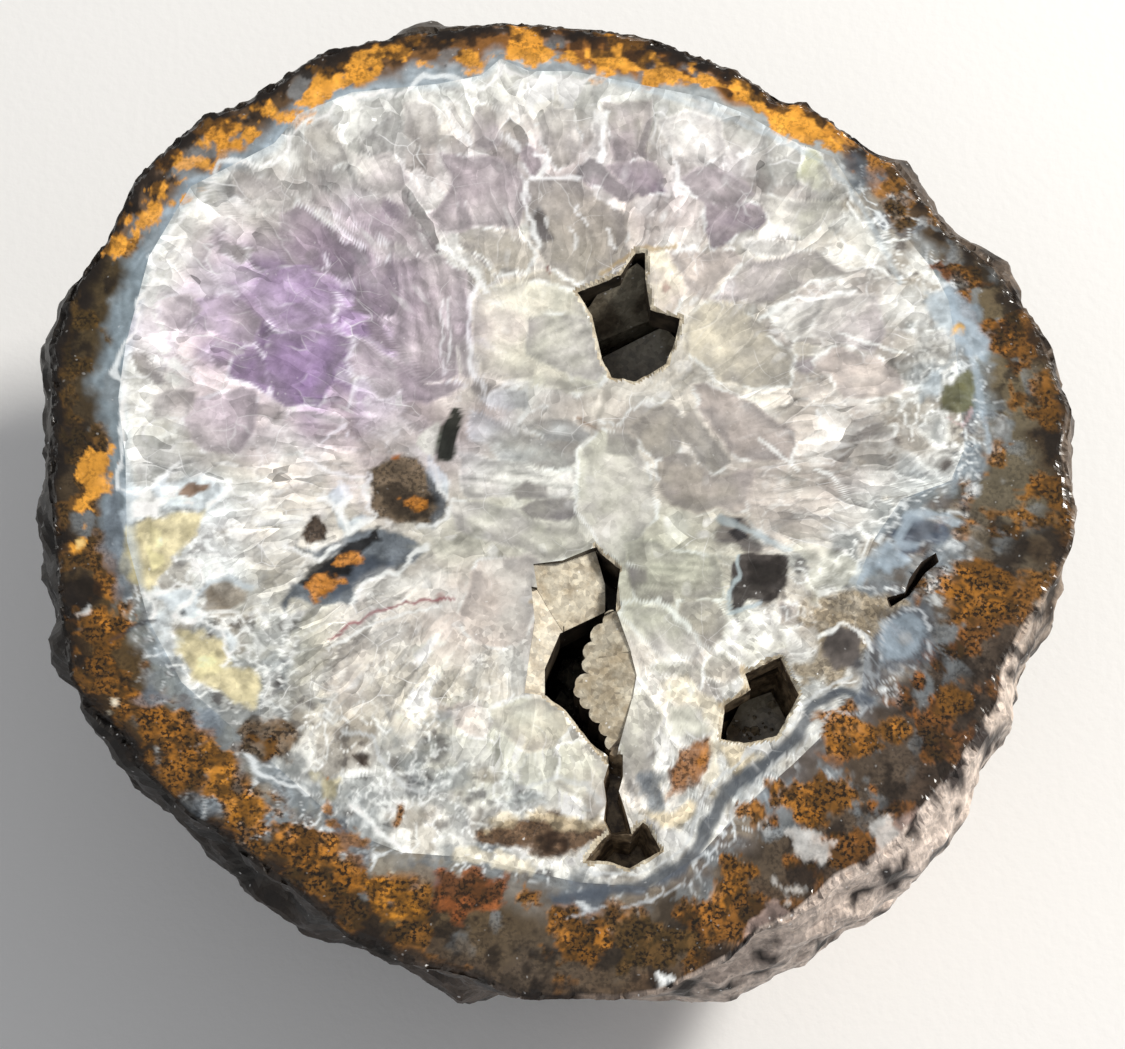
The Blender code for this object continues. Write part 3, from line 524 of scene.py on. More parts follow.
# Patches in the quartz and at its edge: tone, softness and raggedness of the edge, strength, outline
PATCHES = [
    ("haze", 1.2, 0.8, 0.75, [-44,0, -44,1.5, -43,0, -41,0.5, -38,3, -39,1, -35.5,1.5, -33,0.5, -33,-1,
     -35,-2, -39,-2, -43,-4, -44,-2.5, -43,-1]),
    ("white", 0.7, 0.5, 0.9, [-43,-2, -41,0, -39,-1, -40,-3, -42,-3, -43,-4]),
    ("rust", 0.5, 0.6, 0.8, [-38,-0.5, -37,0.5, -34.5,1, -35,0, -37,-1]),
    ("calcite", 0.8, 0.7, 0.95, [-43,-4, -41,-3, -35,-2, -36,-5, -38,-7, -40.5,-11, -42.5,-10, -43.5,-9]),
    ("calcite_bright", 0.4, 0.3, 0.9, [-41,-6, -39,-7, -39,-8, -40.5,-9]),
    ("calcite_bright", 0.8, 0.5, 0.5, [-41,-3.5, -40,-4, -39.5,-6, -40.5,-6]),
    ("haze", 0.9, 0.9, 0.8, [-40.5,-11, -35.5,-10, -34.5,-11, -35.5,-12.5, -34,-13, -35,-14, -37,-14,
     -39,-13]),
    ("agate_dark", 0.5, 0.3, 0.7, [-38,-13, -37,-13, -37,-14, -37.5,-14]),
    ("grey_brown", 0.8, 0.6, 0.8, [-35,-10.5, -33,-9.5, -31,-11, -31,-12, -32.5,-13, -35,-13]),
    ("calcite", 0.9, 0.8, 0.95, [-37.5,-15, -35,-15, -33,-16, -32,-18, -32.5,-19, -30,-19.5, -29,-21,
     -30,-23, -36,-20, -38,-17]),
    ("calcite_bright", 0.8, 0.5, 0.6, [-35.5,-18, -34,-17.5, -33,-19, -35,-20, -36,-19.5]),
    ("haze", 1.2, 1, 0.6, [-40.5,-12, -38,-13.5, -37,-16, -38,-18, -40,-17]),
    ("haze", 1, 0.8, 0.7, [-35,-14, -32.5,-15, -31.5,-18, -32,-19, -33,-16, -35,-15]),
    ("moss_spot", 0.5, 0.5, 0.9, [-25.5,-4, -24.5,-3, -23,-4, -23,-5.5, -25,-6, -26,-5]),
    ("agate_blue", 0.6, 0.4, 0.85, [-26,-5.5, -26,-6, -24,-6.5, -21,-5, -22,-7, -23,-7.5, -26.5,-6.5]),
    ("haze", 0.4, 0.3, 0.9, [-22,1, -21,0.5, -21,-1, -22,-2, -21,-3.5, -19.5,-2.5, -18.5,-3, -20,-4.5,
     -21,-5, -22,-4, -23,-1, -24,-1, -22,0]),
    ("agate_brown", 0.6, 0.6, 0.95, [-19,2, -16,4, -14,3.5, -11.5,0, -11,-2, -13,-4, -18,-3, -19,-2]),
    ("agate_blue", 0.6, 0.4, 0.8, [-13,2, -11,-1, -11,-3, -12.5,-4, -13,-3, -12,-2, -13,0]),
    ("black", 0.7, 0.7, 0.6, [-18.5,0.5, -16,1, -12,-1, -13,-3, -16,-3, -18,-2]),
    ("orange", 0.5, 0.6, 1, [-16,-1, -14.5,-0.5, -13,-1, -13,-2, -14,-2.5]),
    ("orange_dark", 0.4, 0.4, 1, [-17,4, -15.5,4, -16,3, -17,3]),
    ("agate_blue", 0.6, 0.5, 0.95, [-27,-13, -26.5,-12, -22.5,-12.5, -20,-12, -20.5,-10, -19.5,-9,
     -17.5,-8, -16,-9, -13,-6.5, -15,-5, -19,-4, -21,-5, -22,-7, -26.5,-10, -27.5,-12]),
    ("agate_blue_deep", 0.6, 0.6, 0.8, [-20,-7.5, -18,-7, -16,-7.5, -16.5,-9, -18.5,-9.5, -22,-12,
     -22.5,-11]),
    ("black", 0.5, 0.8, 0.85, [-26.5,-10, -20,-5, -18,-4, -18,-5.5, -24,-12]),
    ("orange", 0.4, 0.7, 0.95, [-22,-7, -19,-6, -19.5,-7.5, -21,-8.5, -22,-8]),
    ("orange", 0.4, 0.8, 0.95, [-25,-10.5, -24,-9, -22,-9, -21,-10, -24,-12, -25,-11.5]),
    ("green_black", 0.4, 0.5, 0.95, [-11,9, -10,9.5, -9.5,7.5, -10,4, -11,3, -12.5,3, -12,7]),
    ("milk_greenish", 0.5, 0.3, 0.9, [-14,6, -12,7.5, -12,5.5, -12.5,3, -14.5,5]),
    ("haze", 0.4, 0.3, 0.8, [-13,4, -11,1, -11,-1, -13,2]),
    ("milk_green", 2, 1.2, 0.5, [-15,-6, -8,-4.5, -6,-6, -9,-7, -13,-7]),
    ("red", 0.3, 0.2, 0.8, [-1.5,25, -1,25, -0.5,24, -1,24]),
    ("red", 0.6, 0.5, 0.5, [-12.5,-12, -11.5,-11, -11,-12, -12,-12.5]),
    ("red", 0.5, 0.4, 0.4, [11,23, 11.5,22.5, 11,22]),
    ("dark_smoke", 0.4, 0.4, 0.92, [18,-7, 19,-6.5, 23,-7, 23,-10, 22,-12, 19,-12, 17.5,-13.5, 17,-10]),
    ("black", 1, 0.8, 0.5, [19,-8, 22,-7.5, 22.5,-9, 21,-11, 19,-11]),
    ("smoke", 1, 0.9, 0.75, [16.5,-3, 19,-3, 20,-5, 22,-6, 21,-7, 17,-6, 16,-5]),
    ("haze_blue", 0.8, 0.8, 0.6, [19,-3, 23,-6.5, 19.5,-5.5]),
    ("agate_dark", 0.4, 0.4, 0.8, [17,-3, 18.5,-3, 18,-4]),
    ("agate_dark", 0.4, 0.4, 0.8, [17,-4.5, 18,-4, 19,-5, 18,-5.5]),
    ("agate_blue", 1, 0.8, 0.7, [12,-21, 13,-21, 13,-22, 12,-22.5]),
    ("cream", 1, 0.8, 0.9, [10,-20, 12,-20, 16,-22.5, 19,-20, 19,-21.5, 17,-22.5, 16,-26, 13,-23,
     10,-23]),
    ("milk_green", 1.2, 0.8, 0.8, [11,-23, 14,-23, 14.5,-25.5, 13,-27, 11,-26]),
    ("orange_brown", 0.8, 0.9, 0.9, [10.5,-29, 15,-26, 15,-28, 14,-31, 10.5,-33]),
    ("orange", 0.6, 0.6, 0.7, [14,-27, 15,-27, 15,-28, 14,-29.5, 13.5,-29]),
    ("agate_blue", 1, 0.9, 0.8, [8,-30, 9.5,-29.5, 10.5,-32, 10,-34, 8.5,-34]),
    ("cream", 0.7, 0.6, 0.8, [15,-22.5, 16,-23, 16,-30, 14,-32, 15,-27]),
    ("sand", 1, 1, 0.85, [8,-34, 15,-32, 13,-35, 10,-36]),
    ("brown", 0.7, 0.8, 0.95, [-8.5,-35.5, -2,-34, 5,-35, 4.5,-37, 2,-38.5, -1,-38.5, -8,-36.5]),
    ("brown_dark", 0.8, 0.8, 0.9, [-2,-36, 0,-35.5, 1.5,-36.5, 1,-38, -1,-38]),
    ("sand", 0.8, 1, 0.6, [-7.5,-34, -5.5,-33.5, 4,-34.5, 5,-35.5, 2,-36, -2,-35, -7,-36]),
    ("sand", 0.8, 1, 0.8, [16,-27, 18.5,-26.5, 20,-28, 17.5,-30, 16,-29.5]),
    ("sand_brown", 1, 1.2, 0.85, [24,-12, 30,-11, 33,-11, 34.5,-12, 32,-14.5, 31,-18, 29,-20, 24,-21,
     23.5,-19, 25,-17]),
    ("smoke", 0.6, 0.6, 0.9, [26,-16, 28,-14.5, 29.5,-15, 30,-17, 29.5,-19, 27.5,-19, 26,-18]),
    ("milk_green", 2, 1.5, 0.6, [24,-6, 29,-6.5, 31,-9, 29,-11, 25.5,-12, 24,-10]),
    ("agate_blue_deep", 0.9, 0.9, 0.85, [33.5,-5, 35,-3, 37,-2.5, 39,-3, 39.5,-5, 34,-7.5]),
    ("haze_blue", 0.8, 0.8, 0.8, [31,-7.5, 33,-5, 33.5,-6.5, 35,-7.5, 33,-9, 31,-9, 30,-10]),
    ("olive_crystal", 0.5, 0.5, 0.9, [39,11.5, 42,14, 42.5,12, 42,9, 40.5,8, 39,9]),
    ("haze_blue", 1.2, 1, 0.8, [38,22, 40,23, 43,21, 44,17.5, 43.5,14, 40.5,15, 38,20]),
    ("orange_pale", 0.5, 0.5, 0.9, [40,18, 41,19, 41.5,18, 41,17, 40,17]),
    ("haze_blue", 1.2, 1.1, 0.7, [37,12, 40,14, 39,11.5, 39,10, 37,10]),
    ("sand_brown", 1, 1, 0.7, [32.5,-1, 33.5,0, 35,-0.5, 34,-2]),
]

# Patches in the rind, in the same form
RIND_PATCHES = [
    ("amber", 0.7, 2.2, 0.95, [-45,30, -44,31, -44,28, -46.5,26.5]),
    ("amber", 0.7, 2.2, 0.9, [-44,32, -43,33, -40,32, -43,30]),
    ("amber", 0.7, 2.2, 0.95, [-43,33.5, -41,35.5, -38,34, -38.5,32.5]),
    ("amber", 0.7, 2.2, 0.7, [-40,35, -39,37, -37,38, -36.5,37]),
    ("amber", 0.7, 2.2, 0.95, [-38.5,38.5, -36,41, -33,40, -30,43.5, -28,43.5, -25,48, -23,47, -22,46,
     -27,42, -28.5,42.5, -34.5,38]),
    ("amber", 0.7, 2.2, 0.9, [-21.5,48.5, -18.5,50.5, -14.5,50, -14.5,48.5, -20,47]),
    ("amber", 0.7, 2.2, 0.85, [-12,49, -8,50.5, -7,49, -9,48]),
    ("amber", 0.7, 2.2, 0.95, [-6.5,49, -1,51, 2,50, 2.5,48.5, -1,48]),
    ("amber", 0.7, 2.2, 0.95, [3,49, 6.5,50, 18,46.5, 20,45, 19.5,44, 4,47.5]),
    ("amber", 0.7, 2.2, 0.95, [20,45, 27,42, 30,38, 25,39.5, 20,43]),
    ("amber", 0.7, 2.2, 0.9, [-47.5,5, -46,5.5, -45,4, -46.5,-3, -46.5,-6, -48,-6.5, -48.5,-4.5]),
    ("amber_pale", 0.4, 0.4, 0.9, [-48,-5.5, -47,-5, -47,-6, -48,-6.5]),
    ("agate_blue", 1.44, 0.9, 0.66, [-45,1, -44,0.5, -42.5,-6, -42,-12, -44,-12, -46,-4.5]),
    ("black", 0.6, 0.8, 0.9, [-49.5,-9.5, -47,-9, -45,-10, -44.5,-12, -47,-13, -49,-12.5]),
    ("moss_orange", 0.8, 1.4, 0.95, [-48,-12.5, -45,-12.5, -43,-14, -43,-17, -44,-19, -45.5,-19.5]),
    ("moss_orange", 0.8, 1.4, 0.95, [-44.5,-21, -35,-24, -34,-26, -36,-29, -38,-29, -41,-27]),
    ("moss_bright", 0.8, 1.4, 0.95, [-36,-27, -34,-26, -32,-28, -32,-31, -32.5,-33, -35,-32.5]),
    ("moss_bright", 0.8, 1.4, 0.95, [-32.5,-31.5, -30,-31, -28.5,-32.5, -28,-35, -30,-36, -32,-35]),
    ("moss_orange", 0.8, 1.6, 0.95, [-29,-35, -23,-35.5, -18,-39, -18,-41.5, -21.5,-41, -28,-38]),
    ("moss_bright", 0.7, 1.4, 0.95, [-23,-31.5, -19,-37, -21,-38]),
    ("moss_bright", 0.8, 1.4, 0.95, [-18,-40.5, -16,-40, -12.5,-44, -14,-46, -16.5,-44.5, -18,-42.5]),
    ("moss_red", 0.8, 1.4, 0.9, [-12,-40.5, -10,-39.5, -7,-40, -5,-41, -5,-44, -10,-45, -12,-43]),
    ("moss_orange", 0.6, 1.2, 0.9, [-4,-41, -3,-40.5, -1.5,-42, -2,-43, -4,-43]),
    ("moss_orange", 0.8, 1.5, 0.9, [-2,-44, 1,-43.5, 5.5,-47, 3,-49, 0,-48]),
    ("moss_brown", 0.8, 1.6, 0.9, [5,-45, 9,-44, 13,-46, 14,-48, 10,-50, 6,-49.5]),
    ("moss_orange", 0.7, 1.4, 0.9, [15.5,-39, 17,-38, 19,-39.5, 18.5,-42, 17,-43.5, 15,-42]),
    ("moss_orange", 0.7, 1.4, 0.9, [17.5,-33, 19,-32, 20.5,-33, 20,-35.5, 18.5,-36]),
    ("moss_orange", 0.8, 1.5, 0.95, [26,-24, 28,-23, 31,-24.5, 31,-27, 29,-28.5, 26,-27.5]),
    ("moss_orange", 0.8, 1.5, 0.95, [20.5,-31, 28,-30, 30,-32, 29,-34, 24.5,-35, 21,-34]),
    ("moss_orange", 0.7, 1.3, 0.9, [31,-24, 33,-24, 34,-25, 33.5,-27, 31.5,-27]),
    ("moss_orange", 0.8, 1.4, 0.9, [36,-21, 38.5,-20.5, 41,-21.5, 41,-23.5, 39,-25, 37,-24]),
    ("moss_orange", 0.9, 1.6, 0.95, [38,-10, 40,-8, 43,-7.5, 45,-9, 45,-12, 42,-14.5, 39.5,-15,
     38,-12.5]),
    ("moss_orange", 0.8, 1.4, 0.85, [48,12, 49.5,12.5, 51,10, 51,7.5, 49.5,6.5, 48,8.5]),
    ("moss_orange", 0.8, 1.4, 0.85, [48,1, 50,2, 51.5,0, 51.5,-3, 50,-4]),
    ("moss_brown", 0.8, 1.5, 0.8, [33.5,33, 35.5,33, 38,29, 36,29, 33,32]),
    ("moss_red", 0.6, 1, 0.8, [38,25, 39.5,25.5, 40.5,24, 40,23.5]),
    ("moss_orange", 0.5, 0.9, 1, [-30,-26, -28,-26, -27,-28, -28.5,-28.5]),
    ("moss_orange", 0.5, 0.8, 0.9, [-16,-33, -15,-33, -14.5,-34, -15.5,-35]),
    ("orange_pale", 0.4, 0.6, 0.9, [34,-15, 35,-15, 35,-16, 34,-17]),
    ("agate_blue", 1.44, 1.35, 0.66, [-41,-21, -40,-20.5, -39,-22, -40,-23, -41,-22.5]),
    ("agate_blue", 1.44, 1.35, 0.66, [-36,-24, -34,-23.5, -32,-25, -32,-27, -36,-26]),
    ("agate_blue", 1.62, 1.5, 0.7, [-1,-41, 2,-40.5, 5,-41.5, 5,-43, 3,-45, 0,-44, -1,-43]),
    ("agate_blue", 1.62, 1.2, 0.55, [-14,-39, -12.5,-38.5, -11,-40, -12,-41.5, -14,-41.5]),
    ("grey_brown", 0.7, 0.8, 0.7, [-13.5,-39.5, -12.5,-39.5, -12,-40.5, -13,-41]),
    ("cream", 0.5, 0.7, 0.95, [-44,-22, -43,-22, -43,-23, -44,-23.5]),
    ("cream", 0.5, 0.7, 0.95, [-17,-39, -15,-40, -16,-40.5]),
    ("cream", 0.7, 0.9, 0.85, [-6,-38, -2.5,-38.5, -2.5,-40, -6,-39.5]),
    ("cream", 0.7, 0.9, 0.75, [-10,-37.5, -8,-37, -6,-38, -6.5,-39, -10,-38.5]),
    ("calcite", 0.6, 0.9, 0.8, [-24,-30, -22.5,-30, -21.5,-31, -22,-33]),
    ("white", 0.6, 1, 0.7, [-48,-13, -47,-13, -47.5,-15]),
    ("milk", 0.7, 1.2, 0.8, [30,-35, 32,-34, 34,-36, 33,-38, 30.5,-37.5]),
    ("milk", 0.7, 1.2, 0.8, [22.5,-36, 25,-35, 27,-37, 25.5,-38.5, 23,-38]),
    ("milk", 0.7, 1.2, 0.7, [21,-41, 23,-41, 24,-42, 21.5,-43]),
    ("white", 0.6, 1, 0.8, [9.5,-50, 11,-50, 12,-51.5, 10.5,-53, 9.5,-52]),
    ("pink_stone", 0.8, 1.2, 0.7, [33,-35, 35,-34, 36.5,-36, 33.5,-37]),
    ("pink_stone", 0.8, 1.4, 0.7, [18,-44, 21,-43, 23.5,-44, 22.5,-46, 19,-48, 17.5,-47]),
    ("slate", 1.62, 1.05, 0.66, [31,-16, 32,-13, 34,-12, 37,-12, 37.5,-14.5, 37,-18, 34,-19, 30,-22.5,
     29,-21]),
    ("haze_blue", 0.84, 0.75, 0.64, [32,-16, 32.5,-14, 34.5,-13, 36.5,-13.5, 37,-16, 35,-18, 32,-18]),
    ("slate", 1.62, 1.5, 0.55, [29.5,38, 31.5,38, 34,35, 34,32, 32,32.5, 30,35]),
    ("moss_brown", 0.8, 0.9, 0.8, [-31,-25, -29,-24, -26,-25, -25,-27, -26.5,-29, -29,-29, -31,-27.5]),
    ("brown_dark", 0.6, 0.6, 0.9, [-20.5,-28, -19,-27, -18,-28, -18,-29.5, -19.5,-30]),
    ("slate", 1.26, 1.05, 0.55, [-22.5,-33, -21,-34, -17.5,-39, -18.5,-39.5, -20.5,-37.5]),
    ("agate_grey", 1.8, 1.2, 0.47, [-29.5,-29, -23,-30, -20.5,-33, -18,-34, -15,-37, -15,-39, -18,-38,
     -20,-34, -29,-31]),
]

# Thin veins and rims: tone, width, strength, path
LINES = [
    ("line_white", 0.45, 0.95, [-44,0, -44,11.5, -45,13, -44,16, -43,17.5, -43,21, -41.5,23, -41.5,25,
     -42,26, -40,28, -39.5,29.5, -37,32.5, -35.5,35, -35,37, -33,37, -31,36.5, -29,37, -28,38, -28,40,
     -27,41, -24,42.5, -23,44, -18.5,45, -17,44.5, -14,47, -12,47, -8.5,45.5, -7,46, -6,47, -6,48.5,
     -4.5,47, -3,46.5, 2.5,46, 4,47]),
    ("line_blue", 0.6, 0.5, [4,46.5, 7.5,46, 16,43, 24,39, 28,36.5, 31,32.5, 35,23]),
    ("line_white", 0.5, 0.9, [-41,-11, -40,-12, -40,-14]),
    ("agate_dark", 0.4, 0.8, [-44,-16, -41,-14, -40,-14]),
    ("line_white", 0.35, 0.8, [-44,0, -42,-0.5, -38,3]),
    ("line_white", 0.5, 0.8, [-35.5,1.5, -33,1, -32.5,0, -35,-2]),
    ("line_white", 0.5, 0.85, [-40.5,-11, -39,-11, -37.5,-10, -36,-11, -36.5,-12, -37.5,-12.5, -38,-13.5,
     -33,-15, -32.5,-18, -33,-19]),
    ("line_white", 0.35, 0.7, [-36,-14, -34.5,-13, -31.5,-13]),
    ("line_blue", 0.5, 0.7, [-35.5,-11, -34.5,-10, -32.5,-9.5, -30.5,-10.5]),
    ("line_white", 0.5, 0.9, [-11,-2, -11,-3, -12.5,-4, -14,-4]),
    ("line_white", 0.5, 0.9, [-13,3, -12,1.5, -12,0, -11,-1]),
    ("line_white", 0.5, 0.8, [-19,1.5, -19.5,0, -19,-2, -18,-3]),
    ("line_white", 0.6, 0.95, [-20.5,-12, -19,-10, -17,-9, -16,-9, -14.5,-7, -13,-6]),
    ("line_white", 0.4, 0.9, [-27,-6, -25.5,-7, -24,-7.5, -22,-6]),
    ("line_white", 0.8, 0.95, [-22,1, -21,-0.5, -22,-2, -21,-4.5, -18.5,-3]),
    ("line_white", 0.5, 0.9, [-22,-2, -23,-1, -24,-1]),
    ("line_white", 0.35, 0.8, [-20.5,17, -21.5,14, -20.5,12, -21,9]),
    ("line_white", 0.35, 0.7, [-39,14, -37,13, -36,11.5]),
    ("line_white", 0.4, 0.7, [-32,15.5, -31,16, -30,15]),
    ("line_white", 0.4, 0.9, [-12,44, -11.5,42, -9,39]),
    ("line_white", 0.5, 0.9, [-5,40, -4,38]),
    ("line_white", 0.5, 0.9, [-2.5,38, -1,37.5, -2,35]),
    ("line_white", 0.5, 0.9, [4,42, 5,42.5, 4.5,37]),
    ("line_white", 0.5, 0.9, [12,37, 12.5,36, 12.5,34.5, 14,33]),
    ("line_white", 0.6, 0.9, [12,26.5, 14,27]),
    ("line_white", 0.5, 0.95, [21,19, 24,21, 30.5,22]),
    ("line_white", 0.4, 0.9, [-26.5,32, -20,27]),
    ("line_white", 0.4, 0.9, [2,32, 2,31, 3,29.5]),
    ("line_white", 0.4, 0.8, [1,29, 2,28, 2,27]),
    ("line_white", 0.4, 0.8, [5,29, 6,27]),
    ("line_white", 0.6, 0.9, [-12,27, -8,23.5, -7,22]),
    ("line_white", 0.5, 0.9, [-8,23, -9,21, -9,14, -7.5,11]),
    ("line_white", 0.5, 0.9, [-3,35, 2,35]),
    ("line_white", 0.5, 0.9, [-3,34.5, -3.5,32.5, -2,27]),
    ("line_white", 0.4, 0.8, [4,7.5, 6,7, 7.5,9, 9.5,10]),
    ("line_white", 0.4, 0.8, [-4,7.5, -3,9, -1,9]),
    ("rust", 0.35, 0.6, [2,8, 4,6.5]),
    ("line_white", 0.4, 0.8, [10,-1, 10,-3]),
    ("line_white", 0.5, 0.9, [10,-12, 11.5,-13, 13,-15]),
    ("line_white", 0.4, 0.9, [5.5,-13, 6.5,-12, 10,-12]),
    ("tan_edge", 0.5, 0.9, [18.5,-19, 19,-21, 17.5,-22.5, 16,-23]),
    ("line_blue", 0.5, 0.95, [17,-11, 17,-13, 18,-13, 20,-12]),
    ("line_blue", 0.4, 0.9, [17,-11, 18,-9, 18,-7]),
    ("line_blue", 0.5, 0.7, [16,-3, 18,-3.5, 23,-6.5]),
    ("line_white", 0.4, 0.8, [-6.5,-23, -4,-22]),
    ("tan_edge", 0.5, 0.9, [4.5,24, 8.5,27, 12,27]),
    ("tan_edge", 0.5, 0.8, [-2.5,-12, -1,-12.5, 0,-15]),
    ("line_white", 0.4, 0.8, [26,-15.5, 28,-14.5, 30,-15, 31,-17]),
    ("slate", 1.3, 0.95, [0,-43, 4,-42, 8,-41.5, 12,-39.5, 14,-37, 15.5,-33, 23.5,-26, 25,-23, 28,-21.5,
     30.5,-22.5]),
    ("line_pale", 0.28, 0.9, [2,-39.5, 4,-40, 8,-40, 11,-38.5, 13,-36, 14,-33, 16,-30, 21,-26, 23,-25,
     24,-23, 26,-21, 29,-20]),
    ("line_pale", 0.25, 0.8, [30.5,-23, 30,-24, 27,-23, 26,-25, 24,-27, 21,-29, 17,-34, 15,-38, 13,-41,
     8.5,-43, 4,-43.5, 1,-44.5]),
    ("line_pale", 0.25, 0.9, [36.5,-18, 37,-14.5, 36,-13, 33.5,-13, 32,-15, 32,-18]),
    ("line_white", 0.5, 0.9, [-30.5,-28, -29,-30, -24,-32]),
    ("line_pale", 0.5, 0.85, [-21,-25.5, -18,-26, -17,-28.5, -15,-31, -13,-32]),
    ("line_white", 0.5, 0.9, [-20,-33, -15,-38]),
    ("line_white", 0.4, 0.9, [2,-43, 3,-43.5]),
    ("line_pale", 0.5, 0.6, [-4.5,-32, -2.5,-31, 0,-30.5, 3,-31, 4,-33]),
    ("line_pale", 0.25, 0.6, [-4,-33.5, -2,-33, 1,-33, 3,-33.5]),
    ("red_line", 0.3, 0.85, [-22.5,-16, -17.5,-13, -15,-12, -12.5,-12, -10.5,-11.5]),
    ("line_white", 0.3, 0.7, [-22.5,-17, -19.5,-15, -15.5,-13.5, -11.5,-12.5]),
    ("line_white", 0.35, 0.8, [26,8.5, 27,7, 27.5,5.5]),
    ("line_white", 0.35, 0.8, [26,2, 28,1, 29,-1]),
    ("line_white", 0.35, 0.7, [-24,5, -21.5,7, -21,5.5]),
    ("line_white", 0.3, 0.6, [-12,21, -12,17.5, -11.5,13]),
    ("line_white", 0.3, 0.6, [-11,21, -11,14]),
    ("line_pink", 0.35, 0.6, [39.5,8, 41,7, 42,9]),
    ("line_blue", 0.8, 0.6, [41,17.5, 42.5,13, 43.5,4]),
    ("line_blue", 0.8, 0.6, [38,22, 43.5,16.5]),
    ("line_blue", 0.9, 0.7, [34,-5.5, 35,-3, 37,-2.5, 40,-3.5]),
    ("line_blue", 0.8, 0.6, [29.5,-10, 31,-7.5, 33,-6, 36,-6]),
    ("line_white", 0.4, 0.7, [29,28, 31,26, 34,24]),
    ("line_white", 0.4, 0.7, [29,17.5, 32,16, 35.5,15]),
    ("line_white", 0.4, 0.7, [20.5,5.5, 24.5,2]),
    ("line_white", 0.4, 0.7, [-26,4, -23,2, -19,1]),
]


def to_model(flat, depth=0.0):
    """Model coordinates in metres of a point given on the sawn face and its depth below it."""
    return Vector((
        (flat[0] + SHIFT[0]) * MM, (flat[1] + SHIFT[1]) * MM, (FACE_HEIGHT - depth) * MM,
    ))


def reach(outline, angles):
    """Distance in millimetres from the middle to a closed outline, in each direction."""
    start = np.array(outline, float)
    side = np.roll(start, -1, axis=0) - start
    dx, dy = np.cos(angles)[:, None], np.sin(angles)[:, None]
    cross = dx * side[:, 1] - dy * side[:, 0]
    cross = np.where(np.abs(cross) < 1e-9, 1e-9, cross)
    along = (start[:, 0] * dy - start[:, 1] * dx) / cross
    distance = (start[:, 0] * side[:, 1] - start[:, 1] * side[:, 0]) / cross
    hit = (along > -1e-6) & (along < 1.0 + 1e-6)
    return np.where(hit, distance, 0.0).max(axis=1)


def even_reach(outline, angles):
    """The same distance averaged over a span of directions, which leaves out small notches."""
    turns = np.linspace(-EVEN_SPAN, EVEN_SPAN, 7)
    return np.mean([reach(outline, angles + turn) for turn in turns], axis=0)


def noise_at(points, size, offset=(0.0, 0.0, 0.0)):
    """Smooth noise from about -1 to 1 at each point of an array in millimetres."""
    shift = Vector(offset)
    return np.array([noise.noise(Vector(p) / size + shift) for p in points])


def add_tube(bm, steps, rows):
    """A tube from a wrapped grid; rows holds its rings, each an array of points in millimetres."""
    down = len(rows) - 1
    made = bmesh.ops.create_grid(bm, x_segments=steps, y_segments=down, size=0.5)["verts"]
    for vert in made:
        step_round = round((vert.co.x + 0.5) * steps) % steps
        step_down = round((0.5 - vert.co.y) * down)
        vert.co = Vector(rows[step_down][step_round]) * MM
    bmesh.ops.remove_doubles(bm, verts=made, dist=1e-7)


def angles_of(steps):
    """Evenly spaced directions all the way round."""
    return math.tau * np.arange(steps) / steps


def ring(radius, angles, height):
    """Points of one level, from their distances to the middle."""
    return np.column_stack((
        np.cos(angles) * radius, np.sin(angles) * radius, np.broadcast_to(height, angles.shape),
    ))


def cavity_ring(angles, share, inset=0.0):
    """Points of one level of the hollow that the quartz fills."""
    profile = (1.0 - CAVITY_NARROWING * share ** CAVITY_ROUNDNESS) ** (1.0 / CAVITY_ROUNDNESS)
    radius = (reach(QUARTZ_EDGE, angles) - inset) * profile
    return ring(radius, angles, FACE_HEIGHT - (CAVITY_DEPTH - inset) * share)


def outside_ring(angles, share, rim, even_rim, swell):
    """One ring of the rough outside, from the sawn edge at share 0 to the resting flat at 1."""
    narrowing = 1.0 - REST_SHARE ** OUTSIDE_ROUNDNESS
    profile = (1.0 - narrowing * share ** OUTSIDE_ROUNDNESS) ** (1.0 / OUTSIDE_ROUNDNESS)
    evenness = min(share / EVEN_BAND, 1.0)
    radius = rim * (1.0 - evenness) + even_rim * evenness
    bulge = swell * share / SWELL_SHARE * math.exp(1.0 - share / SWELL_SHARE)
    points = ring(radius * profile + bulge, angles, FACE_HEIGHT * (1.0 - share))
    lump = noise_at(points, LUMP_SIZE) * LUMP_HEIGHT
    knob = noise_at(points, KNOB_SIZE, KNOB_OFFSET) * KNOB_HEIGHT
    grit = noise_at(points, 2.1, (9.0, 4.0, 0.0)) * 0.55
    crumb = noise_at(points, 0.9, (0.0, 17.0, 3.0)) * 0.22
    near_edge = min(share / EDGE_BAND, 1.0)
    near_flat = min((1.0 - share) / EDGE_BAND, 1.0)
    rough = (lump + knob) * near_edge + (grit + crumb) * (0.35 + 0.65 * near_edge) * near_flat
    rise = (knob + grit * 0.5) * min(near_edge, near_flat)
    return points + ring(rough, angles, rise)


def in_cad_box(points):
    """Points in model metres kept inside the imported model's box."""
    low, high = (np.array(corner) for corner in CAD_BOX)
    return np.clip(points, low, high)


def new_object(bm, name):
    """An object in the scene from a finished mesh."""
    bmesh.ops.recalc_face_normals(bm, faces=bm.faces[:])
    mesh = bpy.data.meshes.new(name)
    bm.to_mesh(mesh)
    bm.free()
    obj = bpy.data.objects.new(name, mesh)
    bpy.context.scene.collection.objects.link(obj)
    return obj


def vertex_points(obj):
    """The object's vertices as an array in metres."""
    found = np.empty(len(obj.data.vertices) * 3, np.float32)
    obj.data.vertices.foreach_get("co", found)
    return found.reshape(-1, 3).astype(float)


def set_vertex_points(obj, points):
    """Move all the vertices of an object."""
    obj.data.vertices.foreach_set("co", points.astype(np.float32).ravel())
    obj.data.update()


